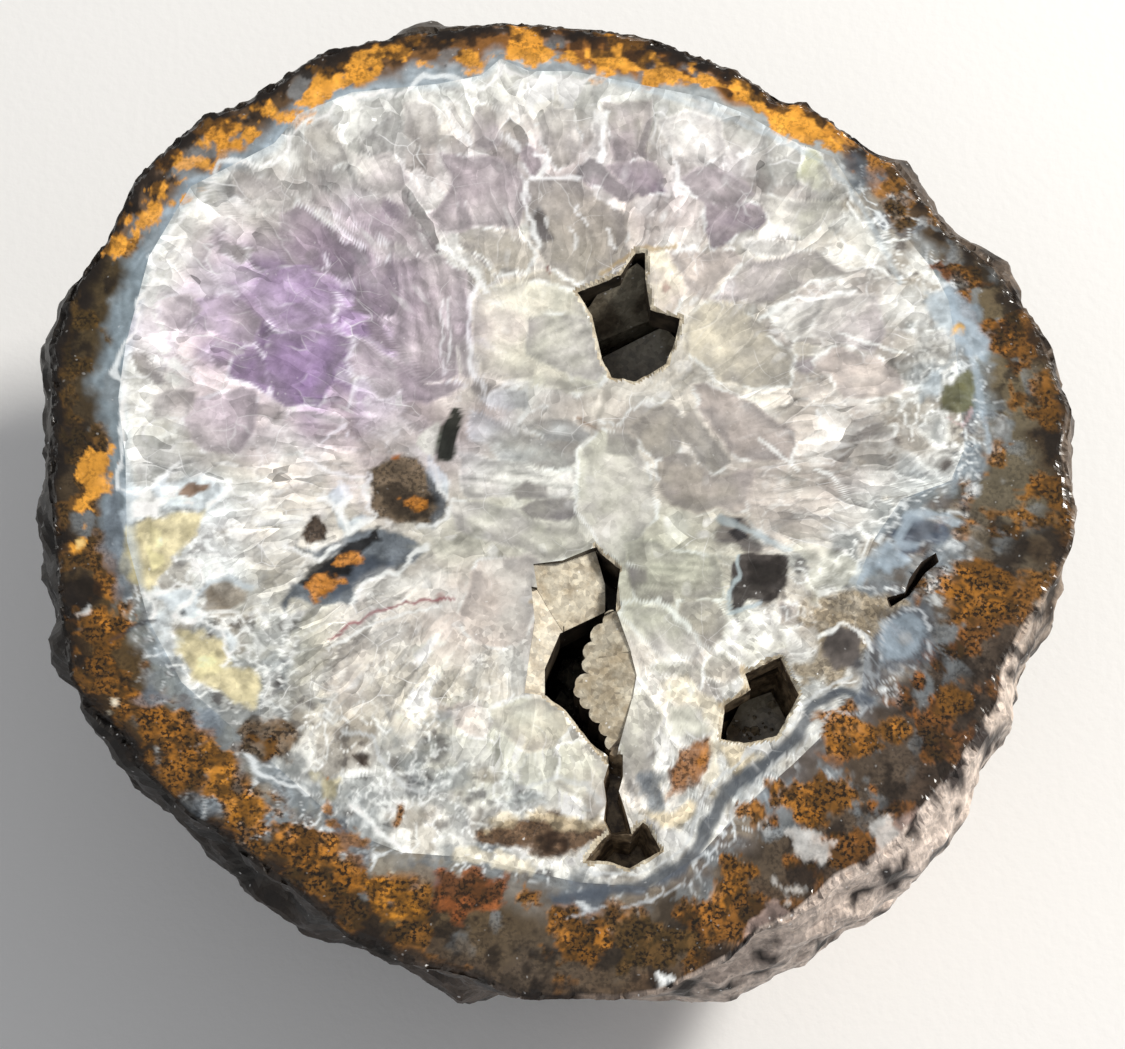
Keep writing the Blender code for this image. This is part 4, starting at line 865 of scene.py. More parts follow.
def middle_of(outline):
    """Middle of an outline."""
    return sum((Vector(p) for p in outline), Vector((0.0, 0.0))) / len(outline)


def prism(name, outline, levels, floor=None):
    """Tapering solid under an outline; floor(point) may give the depth of its lowest ring."""
    middle = middle_of(outline)
    rows = []
    for number, (depth, size) in enumerate(levels):
        flats = [middle + (Vector(p) - middle) * size for p in outline]
        last = floor and number == len(levels) - 1
        rows.append([to_model(flat, floor(flat) if last else depth) / MM for flat in flats])
    bm = bmesh.new()
    add_tube(bm, len(outline), rows)
    bmesh.ops.holes_fill(bm, edges=[edge for edge in bm.edges if edge.is_boundary], sides=0)
    bmesh.ops.triangulate(bm, faces=bm.faces[:])
    return new_object(bm, name)


def scalloped_mouth():
    """Mouth of the lower hollow with rounded lobes along the edge of its plates."""
    lobes = []
    for start, end in zip(PLATE_EDGE, PLATE_EDGE[1:]):
        side = Vector(end) - Vector(start)
        out = Vector((side.y, -side.x)) * SCALLOP_RISE
        for share in (0.0, 0.15, 0.35, 0.65, 0.85):
            spot = Vector(start) + side * share + out * math.sin(share * math.pi) ** 0.7
            lobes.append(tuple(spot))
    return LOWER_MOUTH[:3] + [(5.9, -11.2)] + lobes + LOWER_MOUTH[18:]


def falling_floor(outline, high, low, direction):
    """Depth of a flat face that falls from the high side of its outline to the low side."""
    fall = Vector((math.cos(math.radians(direction)), math.sin(math.radians(direction))))
    reaches = [fall.dot(Vector(p)) for p in outline]
    start, end = min(reaches), max(reaches)
    return lambda p: high + (low - high) * (fall.dot(p) - start) / (end - start)


def cut_away(obj, cutters):
    """Cut closed solids out of an object for good."""
    group = bpy.data.collections.new("cutters")
    for cutter in cutters:
        group.objects.link(cutter)
    modifier = obj.modifiers.new("hollows", "BOOLEAN")
    modifier.operation = "DIFFERENCE"
    modifier.solver = "MANIFOLD"
    modifier.operand_type = "COLLECTION"
    modifier.collection = group
    shown = obj.evaluated_get(bpy.context.evaluated_depsgraph_get())
    cut = bpy.data.meshes.new_from_object(shown)
    obj.modifiers.clear()
    spare = obj.data
    obj.data = cut
    bpy.data.meshes.remove(spare)
    for cutter in cutters:
        bpy.data.objects.remove(cutter)
    bpy.data.collections.remove(group)


def make_rind():
    """The rind: cavity wall, its share of the sawn face, the rough outside and the flat below."""
    angles = angles_of(FACE_AROUND)
    inner = reach(QUARTZ_EDGE, angles)
    outer = reach(RIM, angles)
    rows = [cavity_ring(angles, share) for share in np.linspace(1.0, 0.0, CAVITY_DOWN + 1)]
    for share in np.linspace(0.0, 1.0, RIND_FACE_DOWN + 1)[1:]:
        rows.append(ring(inner + (outer - inner) * share, angles, FACE_HEIGHT))
    outside_angles = angles_of(OUTSIDE_AROUND)
    rim = reach(RIM, outside_angles)
    even_rim = even_reach(RIM, outside_angles)
    at, swells = zip(*SWELL)
    swell = np.interp(np.degrees(outside_angles), at, swells)
    outside = []
    for even in np.linspace(0.0, 1.0, OUTSIDE_DOWN + 1)[1:]:
        share = 0.5 * even + 0.5 * math.sin(even * math.pi / 2.0)
        outside.append(outside_ring(outside_angles, share, rim, even_rim, swell))
    bm = bmesh.new()
    add_tube(bm, FACE_AROUND, rows)
    add_tube(bm, OUTSIDE_AROUND, outside)
    borders = [edge for edge in bm.edges if edge.is_boundary]
    sewn_from = rows[-1][0][2] * MM - 2.5 * MM
    upper = [edge for edge in borders if edge.verts[0].co.z > sewn_from]
    bmesh.ops.bridge_loops(bm, edges=upper)
    bmesh.ops.holes_fill(bm, edges=[edge for edge in bm.edges if edge.is_boundary], sides=0)
    bmesh.ops.translate(bm, verts=bm.verts[:], vec=(SHIFT[0] * MM, SHIFT[1] * MM, 0.0))
    rind = new_object(bm, "rind_stone")
    cut_away(rind, [prism("slit", SLIT_MOUTH, SLIT_LEVELS), prism("nick", NICK_MOUTH, NICK_LEVELS)])
    set_vertex_points(rind, in_cad_box(vertex_points(rind)))
    return rind


def make_quartz():
    """The quartz filling: a dense flat face, the cavity's own wall below, and the hollows."""
    steps = FACE_AROUND // 4
    bm = bmesh.new()
    bmesh.ops.create_grid(bm, x_segments=steps, y_segments=steps, size=1.0)
    flat = np.array([(vert.co.x, vert.co.y) for vert in bm.verts])
    wide = np.abs(flat[:, 0]) > np.abs(flat[:, 1])
    longer = np.where(wide, flat[:, 0], flat[:, 1])
    safe = np.where(np.abs(longer) < 1e-9, 1.0, longer)
    quarter = math.pi / 4.0
    angles = np.where(
        wide, quarter * flat[:, 1] / safe, math.pi / 2.0 - quarter * flat[:, 0] / safe
    )
    angles = np.where(longer < 0.0, angles + math.pi, angles) % math.tau
    points = ring(reach(QUARTZ_EDGE, angles) * np.abs(longer), angles, FACE_HEIGHT)
    for vert, point in zip(bm.verts, points):
        vert.co = Vector(point) * MM
    border = [edge for edge in bm.edges if edge.is_boundary]
    for share in np.linspace(0.0, 1.0, CAVITY_DOWN + 1)[1:]:
        made = bmesh.ops.extrude_edge_only(bm, edges=border)["geom"]
        edges = [edge for edge in made if isinstance(edge, bmesh.types.BMEdge)]
        border = [edge for edge in edges if edge.is_boundary]
        verts = [vert for vert in made if isinstance(vert, bmesh.types.BMVert)]
        ways = np.array([math.atan2(vert.co.y, vert.co.x) for vert in verts]) % math.tau
        for vert, point in zip(verts, cavity_ring(ways, share)):
            vert.co = Vector(point) * MM
    bmesh.ops.holes_fill(bm, edges=border, sides=0)
    bmesh.ops.translate(bm, verts=bm.verts[:], vec=(SHIFT[0] * MM, SHIFT[1] * MM, 0.0))
    quartz = new_object(bm, "quartz_stone")
    cutters = [
        prism(name, outline, levels) for name, outline, levels in [
            ("upper_mouth", UPPER_MOUTH, UPPER_MOUTH_LEVELS),
            ("upper_chamber", UPPER_CHAMBER, UPPER_CHAMBER_LEVELS),
            ("lower_mouth", scalloped_mouth(), LOWER_MOUTH_LEVELS),
            ("lower_chamber", LOWER_CHAMBER, LOWER_CHAMBER_LEVELS),
            ("side_mouth", SIDE_MOUTH, SIDE_MOUTH_LEVELS),
            ("side_chamber", SIDE_CHAMBER, SIDE_CHAMBER_LEVELS),
            ("foot_hollow", FOOT_MOUTH, FOOT_LEVELS),
            ("groove", GROOVE_MOUTH, GROOVE_LEVELS),
        ]
    ]
    for outline, high, low, direction in SLOPES + PLATES:
        floor = falling_floor(outline, high, low, direction)
        cutters.append(prism("slope", outline, [(-2, 1.0), (1, 1.0)], floor))
    cut_away(quartz, cutters)
    return quartz


def add_crystal(bm, place, width, height):
    """Six-sided crystal with a pointed end, standing on the origin of a frame."""
    tip = width * TIP_SHARE
    shaft = height - tip
    made = bmesh.ops.create_cone(
        bm, cap_ends=True, segments=6, radius1=width / 2.0, radius2=width / 2.0, depth=shaft,
        matrix=place @ Matrix.Translation((0.0, 0.0, shaft / 2.0)),
    )
    top = place @ Vector((0.0, 0.0, shaft))
    faces = {face for vert in made["verts"] for face in vert.link_faces}
    end = min(faces, key=lambda face: (face.calc_center_median() - top).length)
    peak = bmesh.ops.poke(bm, faces=[end])["verts"]
    bmesh.ops.translate(bm, verts=peak, vec=place.to_3x3() @ Vector((0.0, 0.0, tip)))


def add_block(bm, outline, floor, low):
    """A crystal cut short by one flat face: its outline, the depths of that face, and its foot."""
    top = bm.faces.new([bm.verts.new(to_model(p, floor(Vector(p)))) for p in outline])
    made = bmesh.ops.extrude_face_region(bm, geom=[top], use_keep_orig=True)["geom"]
    for vert in made:
        if isinstance(vert, bmesh.types.BMVert):
            vert.co.z = (FACE_HEIGHT - low) * MM


def make_crust(name, outline, levels, crystals, blocks=(), small=0):
    """Crystals round the floor of a chamber, leaning towards its middle, on a bed."""
    seed, count, widths, heights = crystals
    floor_depth, floor_size = levels[-1]
    rng = np.random.default_rng(seed)
    middle = middle_of(outline)
    bm = bmesh.new()
    for number in range(count + small):
        corner = Vector(outline[number * 3 % len(outline)]) - middle
        outwards = corner * floor_size * FOOT_SPREAD * rng.uniform(0.15, 1.0)
        outwards = Matrix.Rotation(math.radians(rng.uniform(-20.0, 20.0)), 2) @ outwards
        side = Vector((outwards.y, -outwards.x, 0.0)).normalized()
        lean = Matrix.Rotation(math.radians(rng.uniform(LEAN_OUT, LEAN_IN)), 4, side)
        spin = Matrix.Rotation(rng.uniform(0.0, math.tau), 4, "Z")
        place = Matrix.Translation(to_model(middle + outwards, floor_depth + 0.5))
        width = rng.uniform(*widths) * MM
        height = rng.uniform(*heights) * MM
        if number >= count:
            width, height = width * 0.4, CRUST_BED * MM + width * 0.3
        add_crystal(bm, place @ lean @ spin, width, height)
    bed = [middle + (Vector(p) - middle) * floor_size for p in outline]
    add_block(bm, bed, lambda p: floor_depth - CRUST_BED, floor_depth + 1.0)
    for block, high, low, direction in blocks:
        add_block(bm, block, falling_floor(block, high, low, direction), floor_depth)
    return new_object(bm, name)


def make_crusts():
    """The crusts of crystals on the floors of the three hollows."""
    return [
        ("upper_hollow_crystals", make_crust(
            "upper_crystals", UPPER_CHAMBER, UPPER_CHAMBER_LEVELS, UPPER_CRYSTALS,
            UPPER_BLOCKS, 20)),
        ("lower_hollow_crystals", make_crust(
            "lower_crystals", LOWER_CHAMBER, LOWER_CHAMBER_LEVELS, LOWER_CRYSTALS, (), 40)),
        ("side_hollow_crystals", make_crust(
            "side_crystals", SIDE_CHAMBER, SIDE_CHAMBER_LEVELS, SIDE_CRYSTALS, (), 60)),
    ]


def linear(tone):
    """Linear colour of a tone given from 0 to 255."""
    share = np.array(tone, float) / 255.0
    return np.where(share <= 0.04045, share / 12.92, ((share + 0.055) / 1.055) ** 2.4)


def smooth(low, high, values):
    """Share from 0 to 1 of the way from low to high, with eased ends."""
    share = np.clip((values - low) / (high - low), 0.0, 1.0)
    return share * share * (3.0 - 2.0 * share)


def lattice(spots, seed):
    """Smooth random values from 0 to 1 over a wrapped lattice with steps of one."""
    table = np.random.default_rng(seed).random((LATTICE, LATTICE))
    cell = np.floor(spots).astype(int)
    part = spots - cell
    part = part * part * (3.0 - 2.0 * part)
    left, low = cell[:, 0] % LATTICE, cell[:, 1] % LATTICE
    right, high = (left + 1) % LATTICE, (low + 1) % LATTICE
    below = table[left, low] * (1.0 - part[:, 0]) + table[right, low] * part[:, 0]
    above = table[left, high] * (1.0 - part[:, 0]) + table[right, high] * part[:, 0]
    return below * (1.0 - part[:, 1]) + above * part[:, 1]


def cloud(spots, seed, octaves=4):
    """Layered random values from about -1 to 1; whole wraps of the lattice stay seamless."""
    total = np.zeros(len(spots))
    for octave in range(octaves):
        scale = 2.0 ** octave
        total += (lattice(spots * scale, seed + octave) - 0.5) * 2.0 / scale
    return total


def cells(spots, seed, turn):
    """For each spot: numbers of its cell from 0 to 1, offset from the cell's seed, edge gap."""
    rng = np.random.default_rng(seed)
    jitter = rng.random((turn, LATTICE, 2))
    traits = rng.random((turn, LATTICE, 4))
    base = np.floor(spots).astype(int)
    near = np.full(len(spots), 9.0)
    second = near.copy()
    offset = np.zeros((len(spots), 2))
    owner = np.zeros((len(spots), 2), int)
    for step in ((x, y) for x in (-1, 0, 1) for y in (-1, 0, 1)):
        cell = base + step
        row, column = cell[:, 0] % turn, cell[:, 1] % LATTICE
        away = spots - cell - jitter[row, column]
        distance = np.hypot(away[:, 0], away[:, 1])
        closer = distance < near
        second = np.where(closer, near, np.minimum(second, distance))
        near = np.where(closer, distance, near)
        offset[closer] = away[closer]
        owner[closer] = np.column_stack((row, column))[closer]
    return traits[owner[:, 0], owner[:, 1]], offset, second - near


def path_gap(path, points, closed=False):
    """Distance in millimetres from each point to a path."""
    start = np.array(path, float)
    ends = np.roll(start, -1, axis=0)
    if not closed:
        start, ends = start[:-1], ends[:-1]
    gap = np.full(len(points), 1e3)
    for first, last in zip(start, ends):
        side = last - first
        along = np.clip((points - first) @ side / max(side @ side, 1e-9), 0.0, 1.0)
        away = points - first - along[:, None] * side
        gap = np.minimum(gap, np.hypot(away[:, 0], away[:, 1]))
    return gap


def inside_gap(outline, points):
    """Distance to a closed outline, positive inside it."""
    start = np.array(outline, float)
    inside = np.zeros(len(points), bool)
    for (x0, y0), (x1, y1) in zip(start, np.roll(start, -1, axis=0)):
        if y0 != y1:
            crosses = (points[:, 1] > min(y0, y1)) & (points[:, 1] <= max(y0, y1))
            at = x0 + (points[:, 1] - y0) * (x1 - x0) / (y1 - y0)
            inside ^= crosses & (at > points[:, 0])
    gap = path_gap(outline, points, closed=True)
    return np.where(inside, gap, -gap)


def pairs(numbers):
    """Points from a plain row of their x and y."""
    return np.reshape(np.array(numbers, float), (-1, 2))


def around(outline, points, margin):
    """Numbers of the points in an outline's box."""
    corners = np.array(outline, float)
    low, high = corners.min(axis=0) - margin, corners.max(axis=0) + margin
    return np.flatnonzero(((points > low) & (points < high)).all(axis=1))


def lay(paint, rows, tone, cover):
    """Lay a tone over some rows of the paint."""
    paint[rows] += (linear(TONES[tone]) - paint[rows]) * cover[:, None]


def turned(points, degrees):
    """Points turned about the origin."""
    angle = math.radians(degrees)
    flat = np.array(((math.cos(angle), -math.sin(angle)), (math.sin(angle), math.cos(angle))))
    return points @ flat


def paint_crystals(points, paint, grain):
    """Big cut crystals: a tone turning into another, streaks, and painted light, shade and bright rims.
    """
    for number, row in enumerate(CRYSTALS):
        tone, far_tone, far_way, streak_way, streaks, rim, numbers = row
        outline = pairs(numbers)
        rows = around(outline, points, 1.0)
        near = points[rows]
        wobble = cloud(near / 2.2, 300 + number, 3) * 0.35
        gap = inside_gap(outline, near) + wobble
        cover = smooth(-0.15, 0.25, gap)
        along = turned(near - np.mean(outline, axis=0), far_way)[:, 0]
        spread = max(np.abs(along[gap > 0.0]).max(initial=0.5), 0.5)
        mist = cloud(near / 1.7, 500 + number, 4)
        share = np.clip(0.5 + 0.5 * along / spread + mist * 0.35, 0.0, 1.0)
        # Painted light and shade: the turn to the far tone is partly the crystal's own colour
        start, end = linear(TONES[tone]), linear(TONES[far_tone])
        colour = start + (end - start) * share[:, None]
        sheen = lattice(turned(near, streak_way) / (3.5, 0.42) + 20.0, 700 + number) - 0.5
        fine = lattice(turned(near, streak_way + 35.0) / (1.4, 0.3) + 50.0, 800 + number) - 0.5
        # Painted light and shade: the start side is made lighter and the far side darker
        light = 1.05 + (sheen * 0.8 + fine * 0.3) * streaks + mist * 0.10 + (0.5 - share) * 0.28
        colour = np.clip(colour * light[:, None], 0.0, 0.95)
        paint[rows] += (colour - paint[rows]) * (cover * 0.9)[:, None]
        # Painted highlight: a white line along part of the rim
        broken = smooth(-0.2, 0.35, cloud(near / 2.0, 900 + number, 2) + rim - 0.75)
        lay(paint, rows, "line_white", smooth(0.26, 0.05, np.abs(gap - 0.1)) * broken * 0.75)
        # Painted shade: darker just inside the rest of the rim
        shade = smooth(2.4, 0.2, gap) * smooth(0.0, 0.4, gap) * 0.5 * (1.0 - broken)
        lay(paint, rows, "smoke_pale", shade)
        grain[rows, 2] *= 1.0 - cover * 0.5


def paint_patches(table, points, paint, grain, seed):
    """Ragged patches of colour, laid one over the other."""
    for number, (tone, soft, ragged, strength, numbers) in enumerate(table):
        outline = pairs(numbers)
        rows = around(outline, points, 2.5)
        near = points[rows]
        gap = inside_gap(outline, near) - ragged * 0.15
        gap += cloud(near / 1.6, seed + number, 4) * ragged * 0.75
        cover = smooth(-soft * 0.5, soft * 0.5, gap) * strength
        varied = 1.0 + cloud(near / 1.1, seed + 200 + number, 4) * 0.3
        before = paint[rows].copy()
        lay(paint, rows, tone, cover)
        paint[rows] = before + (paint[rows] * varied[:, None] - before) * np.minimum(
            1.0, cover * 4.0)[:, None]
        for column, table_of in ((0, SPECKLED), (1, SUGARY)):
            grain[rows, column] += (table_of.get(tone, 0.0) - grain[rows, column]) * cover
        grain[rows, 2] *= 1.0 - cover


def paint_lines(points, paint, grain):
    """Thin veins and rims, with an uneven width and a wandering line."""
    for number, (tone, width, strength, numbers) in enumerate(LINES):
        path = pairs(numbers)
        rows = around(path, points, width + 1.5)
        near = points[rows]
        warp = np.column_stack((
            cloud(near / 1.3, 40 + number, 2), cloud(near / 1.3 + 9.0, 90 + number, 2)))
        gap = path_gap(path, near + warp * 0.28)
        wide = width * (0.5 + 0.5 * lattice(near / 2.0, 60 + number))
        cover = smooth(1.0, 0.3, gap / wide) * strength * 0.9
        lay(paint, rows, tone, cover)
        grain[rows] *= (1.0 - cover * 0.7)[:, None]


def paint_lace(points, paint, grain, edge):
    """Lacy agate: mottled grey ground with white veins, and rings round dark eyes."""
    rows = np.arange(len(points))
    degrees = np.degrees(np.arctan2(points[:, 1], points[:, 0])) % 360.0
    cover = smooth(3.4, 0.3, np.abs(edge) + cloud(points / 3.5, 131, 4) * 3.0)
    cover *= 1.0 - smooth(44.0, 56.0, degrees) * smooth(206.0, 190.0, degrees)
    for number, (middle, half) in enumerate(LACE):
        away = np.hypot(*((points - middle) / half).T) + cloud(points / 3.0, 140 + number, 4) * 0.5
        cover = np.maximum(cover, smooth(1.1, 0.7, away) * 0.8)
    tint = cloud(points / 3.2, 151, 4)
    lay(paint, rows, "agate_grey", cover * smooth(-0.1, 0.5, tint) * 0.75)
    lay(paint, rows, "grey_brown", cover * smooth(-0.1, -0.6, tint) * 0.65)
    pale = smooth(1.0, -1.0, edge)
    lay(paint, rows, "haze", cover * pale * smooth(0.2, 0.6, cloud(points / 2.4, 161, 4)) * 0.7)
    lay(paint, rows, "smoke", cover * smooth(0.45, 0.75, cloud(points / 1.6, 165, 4)) * 0.7)
    warped = points / 5.5 + cloud(points / 4.0, 171, 3)[:, None] * 0.25
    traits, offset, gap = cells(warped, 173, LATTICE)
    eye = np.hypot(offset[:, 0], offset[:, 1]) + cloud(points / 1.5, 175, 2) * 0.06
    shown = cover * (traits[:, 0] > 0.45) * smooth(0.55, 0.3, eye)
    ring_tone = 0.5 + 0.5 * np.sin(eye * 48.0)
    lay(paint, rows, "agate_blue", shown * ring_tone * 0.5)
    lay(paint, rows, "haze", shown * (1.0 - ring_tone) * 0.35)
    lay(paint, rows, "brown_dark", cover * (traits[:, 0] > 0.7) * smooth(0.16, 0.08, eye) * 0.85)
    for size, seed in ((4.0, 181), (2.2, 185)):
        vein = np.abs(cloud(points / size, seed, 3))
        lay(paint, rows, "line_white", smooth(0.10, 0.03, vein) * cover * 0.75)
    grain[:, 2] *= 1.0 - cover * 0.75
    grain[:, 1] += (0.45 - grain[:, 1]) * cover


def quartz_paint(points):
    """Colours of the quartz, with painted light and shade, and how speckled, sugary and faceted."""
    angle = np.arctan2(points[:, 1], points[:, 0]) % math.tau
    radius = np.hypot(points[:, 0], points[:, 1])
    edge = reach(QUARTZ_EDGE, angle) - radius
    paint = np.tile(linear(TONES["quartz_ground"]), (len(points), 1))
    grain = np.zeros((len(points), 3))
    rows = np.arange(len(points))
    lay(paint, rows, "milk_cool", smooth(0.0, 0.6, cloud(points / 9.0, 5)) * 0.5)
    lay(paint, rows, "mauve_warm", smooth(0.1, 0.8, cloud(points / 7.0, 8)) * 0.5)
    for number, (tone, middle, half, strength) in enumerate(TINTS):
        away = np.hypot(*((points - middle) / half).T) + cloud(points / 5.0, 20 + number, 3) * 0.3
        lay(paint, rows, tone, smooth(1.15, 0.35, away) * strength)
    outer = smooth(9.5, 1.0, edge + cloud(points / 4.0, 31, 3) * 2.5)
    lay(paint, rows, "quartz_outer", outer * 0.7)

    spread = smooth(6.0, 26.0, radius)
    turns = angle / math.tau
    for count, length, seed, depth, bright in (
        (40, 10.0, 61, 0.34, 0.3), (84, 6.0, 67, 0.26, 0.3),
    ):
        warp = cloud(np.column_stack((turns * LATTICE, radius)) / 4.0, seed + 3, 3)
        spots = np.column_stack((turns * count + warp * 0.25, radius / length + warp * 0.2))
        traits, offset, gap = cells(spots, seed, count)
        # Painted light and shade: each cell gets a random tone and a lighter and a darker side
        painted_tilt_shade = (offset * (traits[:, 1:3] - 0.5)).sum(axis=1) * 2.2
        light = 1.0 + ((traits[:, 0] - 0.5) * 1.3 + painted_tilt_shade) * depth * (0.35 + 0.65 * spread)
        paint *= light[:, None]
        shown = smooth(0.45, 0.75, traits[:, 3] + cloud(points / 2.0, seed + 5, 2) * 0.3)
        # White lines on some cell edges: partly fractures, partly painted highlight
        lay(paint, rows, "line_white", smooth(0.09, 0.02, gap) * shown * bright * spread)
        # Grey lines on the other cell edges: painted shade
        lay(paint, rows, "smoke_pale", smooth(0.16, 0.03, gap) * (1.0 - shown) * 0.3 * spread)
    fibre = lattice(np.column_stack((turns * LATTICE * 2.0, radius / 3.5)), 81)
    thin = lattice(np.column_stack((turns * LATTICE * 4.0, radius / 2.0)), 83)
    wisps = smooth(0.62, 0.95, fibre) + smooth(0.72, 0.98, thin) * 0.8
    lay(paint, rows, "line_white", np.clip(wisps, 0.0, 1.0) * (0.04 + 0.16 * outer) * spread)
    lay(paint, rows, "smoke_pale", smooth(0.35, 0.05, fibre) * 0.08 * spread)
    for size, seed, share in ((5.0, 91, 0.3), (2.6, 95, 0.2)):
        vein = np.abs(cloud(points / size, seed, 3))
        shown = smooth(0.0, 0.5, cloud(points / 6.0, seed + 40, 2))
        lay(paint, rows, "line_white", smooth(0.05, 0.01, vein) * shown * share)
    lay(paint, rows, "white", smooth(0.2, 0.9, cloud(points / 4.0, 111, 3)) * 0.45)
    lower = smooth(-6.0, -20.0, points[:, 1] + cloud(points / 6.0, 117, 3) * 4.0)
    grain[:, 1] = 0.2 + 0.5 * lower * smooth(-0.4, 0.4, cloud(points / 4.0, 119, 3))
    grain[:, 2] = 1.0
    paint_crystals(points, paint, grain)
    paint_lace(points, paint, grain, edge)
    paint_patches(PATCHES, points, paint, grain, 1000)
    paint_patches(RIND_PATCHES, points, paint, grain, 2000)
    topmost = smooth(52.0, 62.0, np.degrees(angle)) * smooth(205.0, 190.0, np.degrees(angle))
    blue = smooth(1.2, 0.1, edge + cloud(points / 2.0, 121, 2) * 0.3) * topmost
    lay(paint, rows, "line_blue", blue * 0.6)
    paint_lines(points, paint, grain)
    light = paint.mean(axis=1, keepdims=True)
    pale = smooth(0.15, 0.4, light)
    paint += (light - paint) * 0.15 * pale
    paint *= (light / QUARTZ_MIDDLE) ** QUARTZ_CONTRAST
    centre = smooth(26.0, 14.0, radius)[:, None] * pale
    paint *= QUARTZ_LIGHT * (1.0 - centre * 0.2)
    for tone, middle, half, strength in VEILS:
        away = np.hypot(*((points - middle) / half).T) + cloud(points / 6.0, 261, 3) * 0.3
        veil = smooth(1.2, 0.4, away)[:, None] * strength * pale
        paint *= 1.0 + (np.array(tone) - 1.0) * veil
    return paint, grain


def zone_values(zones, angles, column):
    """Values of one column of a table of zones, blended by direction."""
    at = [zone[0] for zone in zones]
    values = np.array([zone[column] for zone in zones], float)
    if values.ndim == 1:
        return np.interp(angles, at, values)
    return np.column_stack([np.interp(angles, at, part) for part in values.T])


def rind_paint(points):
    """Colours of the sawn rind, from the quartz out to the rim."""
    angle = np.arctan2(points[:, 1], points[:, 0]) % math.tau
    radius = np.hypot(points[:, 0], points[:, 1])
    inner = reach(QUARTZ_EDGE, angle)
    share = (radius - inner) / np.maximum(reach(RIM, angle) - inner, 0.5)
    share = share + cloud(points / 3.0, 201, 4) * 0.16
    degrees = np.degrees(angle) + cloud(points / 6.0, 205, 2) * 4.0
    tones = [linear(zone_values(RIND_ZONES, degrees % 360.0, column)) for column in (1, 2, 3, 4)]
    paint = tones[0] + (tones[1] - tones[0]) * smooth(0.1, 0.42, share)[:, None]
    paint += (tones[2] - paint) * smooth(0.62, 0.95, share)[:, None]
    grain = np.zeros((len(points), 3))
    rows = np.arange(len(points))
    wanted = zone_values(RIND_ZONES, degrees % 360.0, 5)
    speckled = zone_values(RIND_ZONES, degrees % 360.0, 6)
    patchy = smooth(-0.08, 0.12, cloud(points / 3.4, 211, 5) + wanted - 0.5)
    patchy *= smooth(0.12, 0.35, share) * smooth(1.05, 0.85, share)
    paint += (tones[3] - paint) * patchy[:, None]
    dark = smooth(0.12, 0.4, cloud(points / 2.1, 221, 4)) * smooth(0.2, 0.5, share)
    lay(paint, rows, "black", dark * 0.75)
    grey = smooth(0.25, 0.55, cloud(points / 3.0, 231, 4)) * (1.0 - patchy) * 0.6
    lay(paint, rows, "agate_grey", grey * smooth(0.85, 0.5, share))
    grain[:, 0] = np.maximum(patchy, 0.45 * smooth(0.3, 0.6, share)) * speckled
    grain[:, 1] = 0.15
    paint *= (1.0 + cloud(points / 1.0, 241, 3) * 0.16)[:, None]
    paint_lace(points, paint, grain, radius - inner)
    bands = np.sin((radius - inner + cloud(points / 4.0, 251, 3) * 1.2) * 5.5)
    paint *= (1.0 + bands * 0.10 * smooth(0.45, 0.1, share))[:, None]
    paint_patches(PATCHES, points, paint, grain, 1000)
    paint_patches(RIND_PATCHES, points, paint, grain, 2000)
    paint_lines(points, paint, grain)
    amber = smooth(50.0, 58.0, degrees) * smooth(156.0, 148.0, degrees)
    rim = smooth(0.93, 1.0, share) * 0.5
    jagged = smooth(0.6, 0.8, share + cloud(points / 1.3, 271, 3) * 0.35) * amber * 0.85
    lay(paint, rows, "black", np.maximum(rim, jagged))
    moss = smooth(0.45, 0.8, grain[:, 0])
    dark = smooth(-0.2, 0.3, cloud(points / 1.5, 191, 4)) * 0.65
    dark = np.maximum(dark, smooth(0.0, 0.35, cloud(points / 0.55, 195, 3)) * 0.8)
    dark = np.maximum(dark, smooth(0.45, 0.9, share) * 0.6) * (1.0 - amber * 0.6)
    lay(paint, rows, "moss_shade", moss * dark)
    return paint, grain


def outside_paint(points):
    """Colours of the rough outside at points in model millimetres."""
    degrees = np.degrees(np.arctan2(points[:, 1], points[:, 0])) % 360.0
    coarse = noise_at(points, 3.6, (3.0, 8.0, 1.0)) + noise_at(points, 1.5, (5.0, 1.0, 9.0)) * 0.6
    paint = linear(zone_values(OUTSIDE_ZONES, degrees, 1))
    patches = linear(zone_values(OUTSIDE_ZONES, degrees, 2))
    paint = paint + (patches - paint) * smooth(0.0, 0.35, coarse)[:, None]
    paint *= (1.0 + noise_at(points, 0.9, (1.0, 2.0, 3.0)) * 0.35)[:, None]
    grain = np.zeros((len(points), 3))
    grain[:, 0] = 0.25
    grain[:, 1] = 0.6
    return paint, grain


def store(obj, paint, grain):
    """Keep the paint and the grain as attributes of the object's points."""
    for name, values in (("paint", paint), ("grain", grain)):
        attribute = obj.data.attributes.new(name, "FLOAT_COLOR", "POINT")
        full = np.ones((len(values), 4), np.float32)
        full[:, :3] = np.clip(values, 0.0, 1.0)
        attribute.data.foreach_set("color", full.ravel())


def face_values(obj):
    """Middles of the faces on the sawn face, their depths below it and how far they face up."""
    count = len(obj.data.polygons)
    middles, normals = np.empty(count * 3, np.float32), np.empty(count * 3, np.float32)
    obj.data.polygons.foreach_get("center", middles)
    obj.data.polygons.foreach_get("normal", normals)
    middles = middles.reshape(-1, 3).astype(float) / MM
    return middles[:, :2] - SHIFT, FACE_HEIGHT - middles[:, 2], normals.reshape(-1, 3)[:, 2]


def set_materials(obj, materials, numbers):
    """Give an object its materials, and each face the number of one."""
    obj.data.materials.clear()
    for material in materials:
        obj.data.materials.append(material)
    obj.data.polygons.foreach_set("material_index", numbers.astype(np.int32))
    obj.data.update()


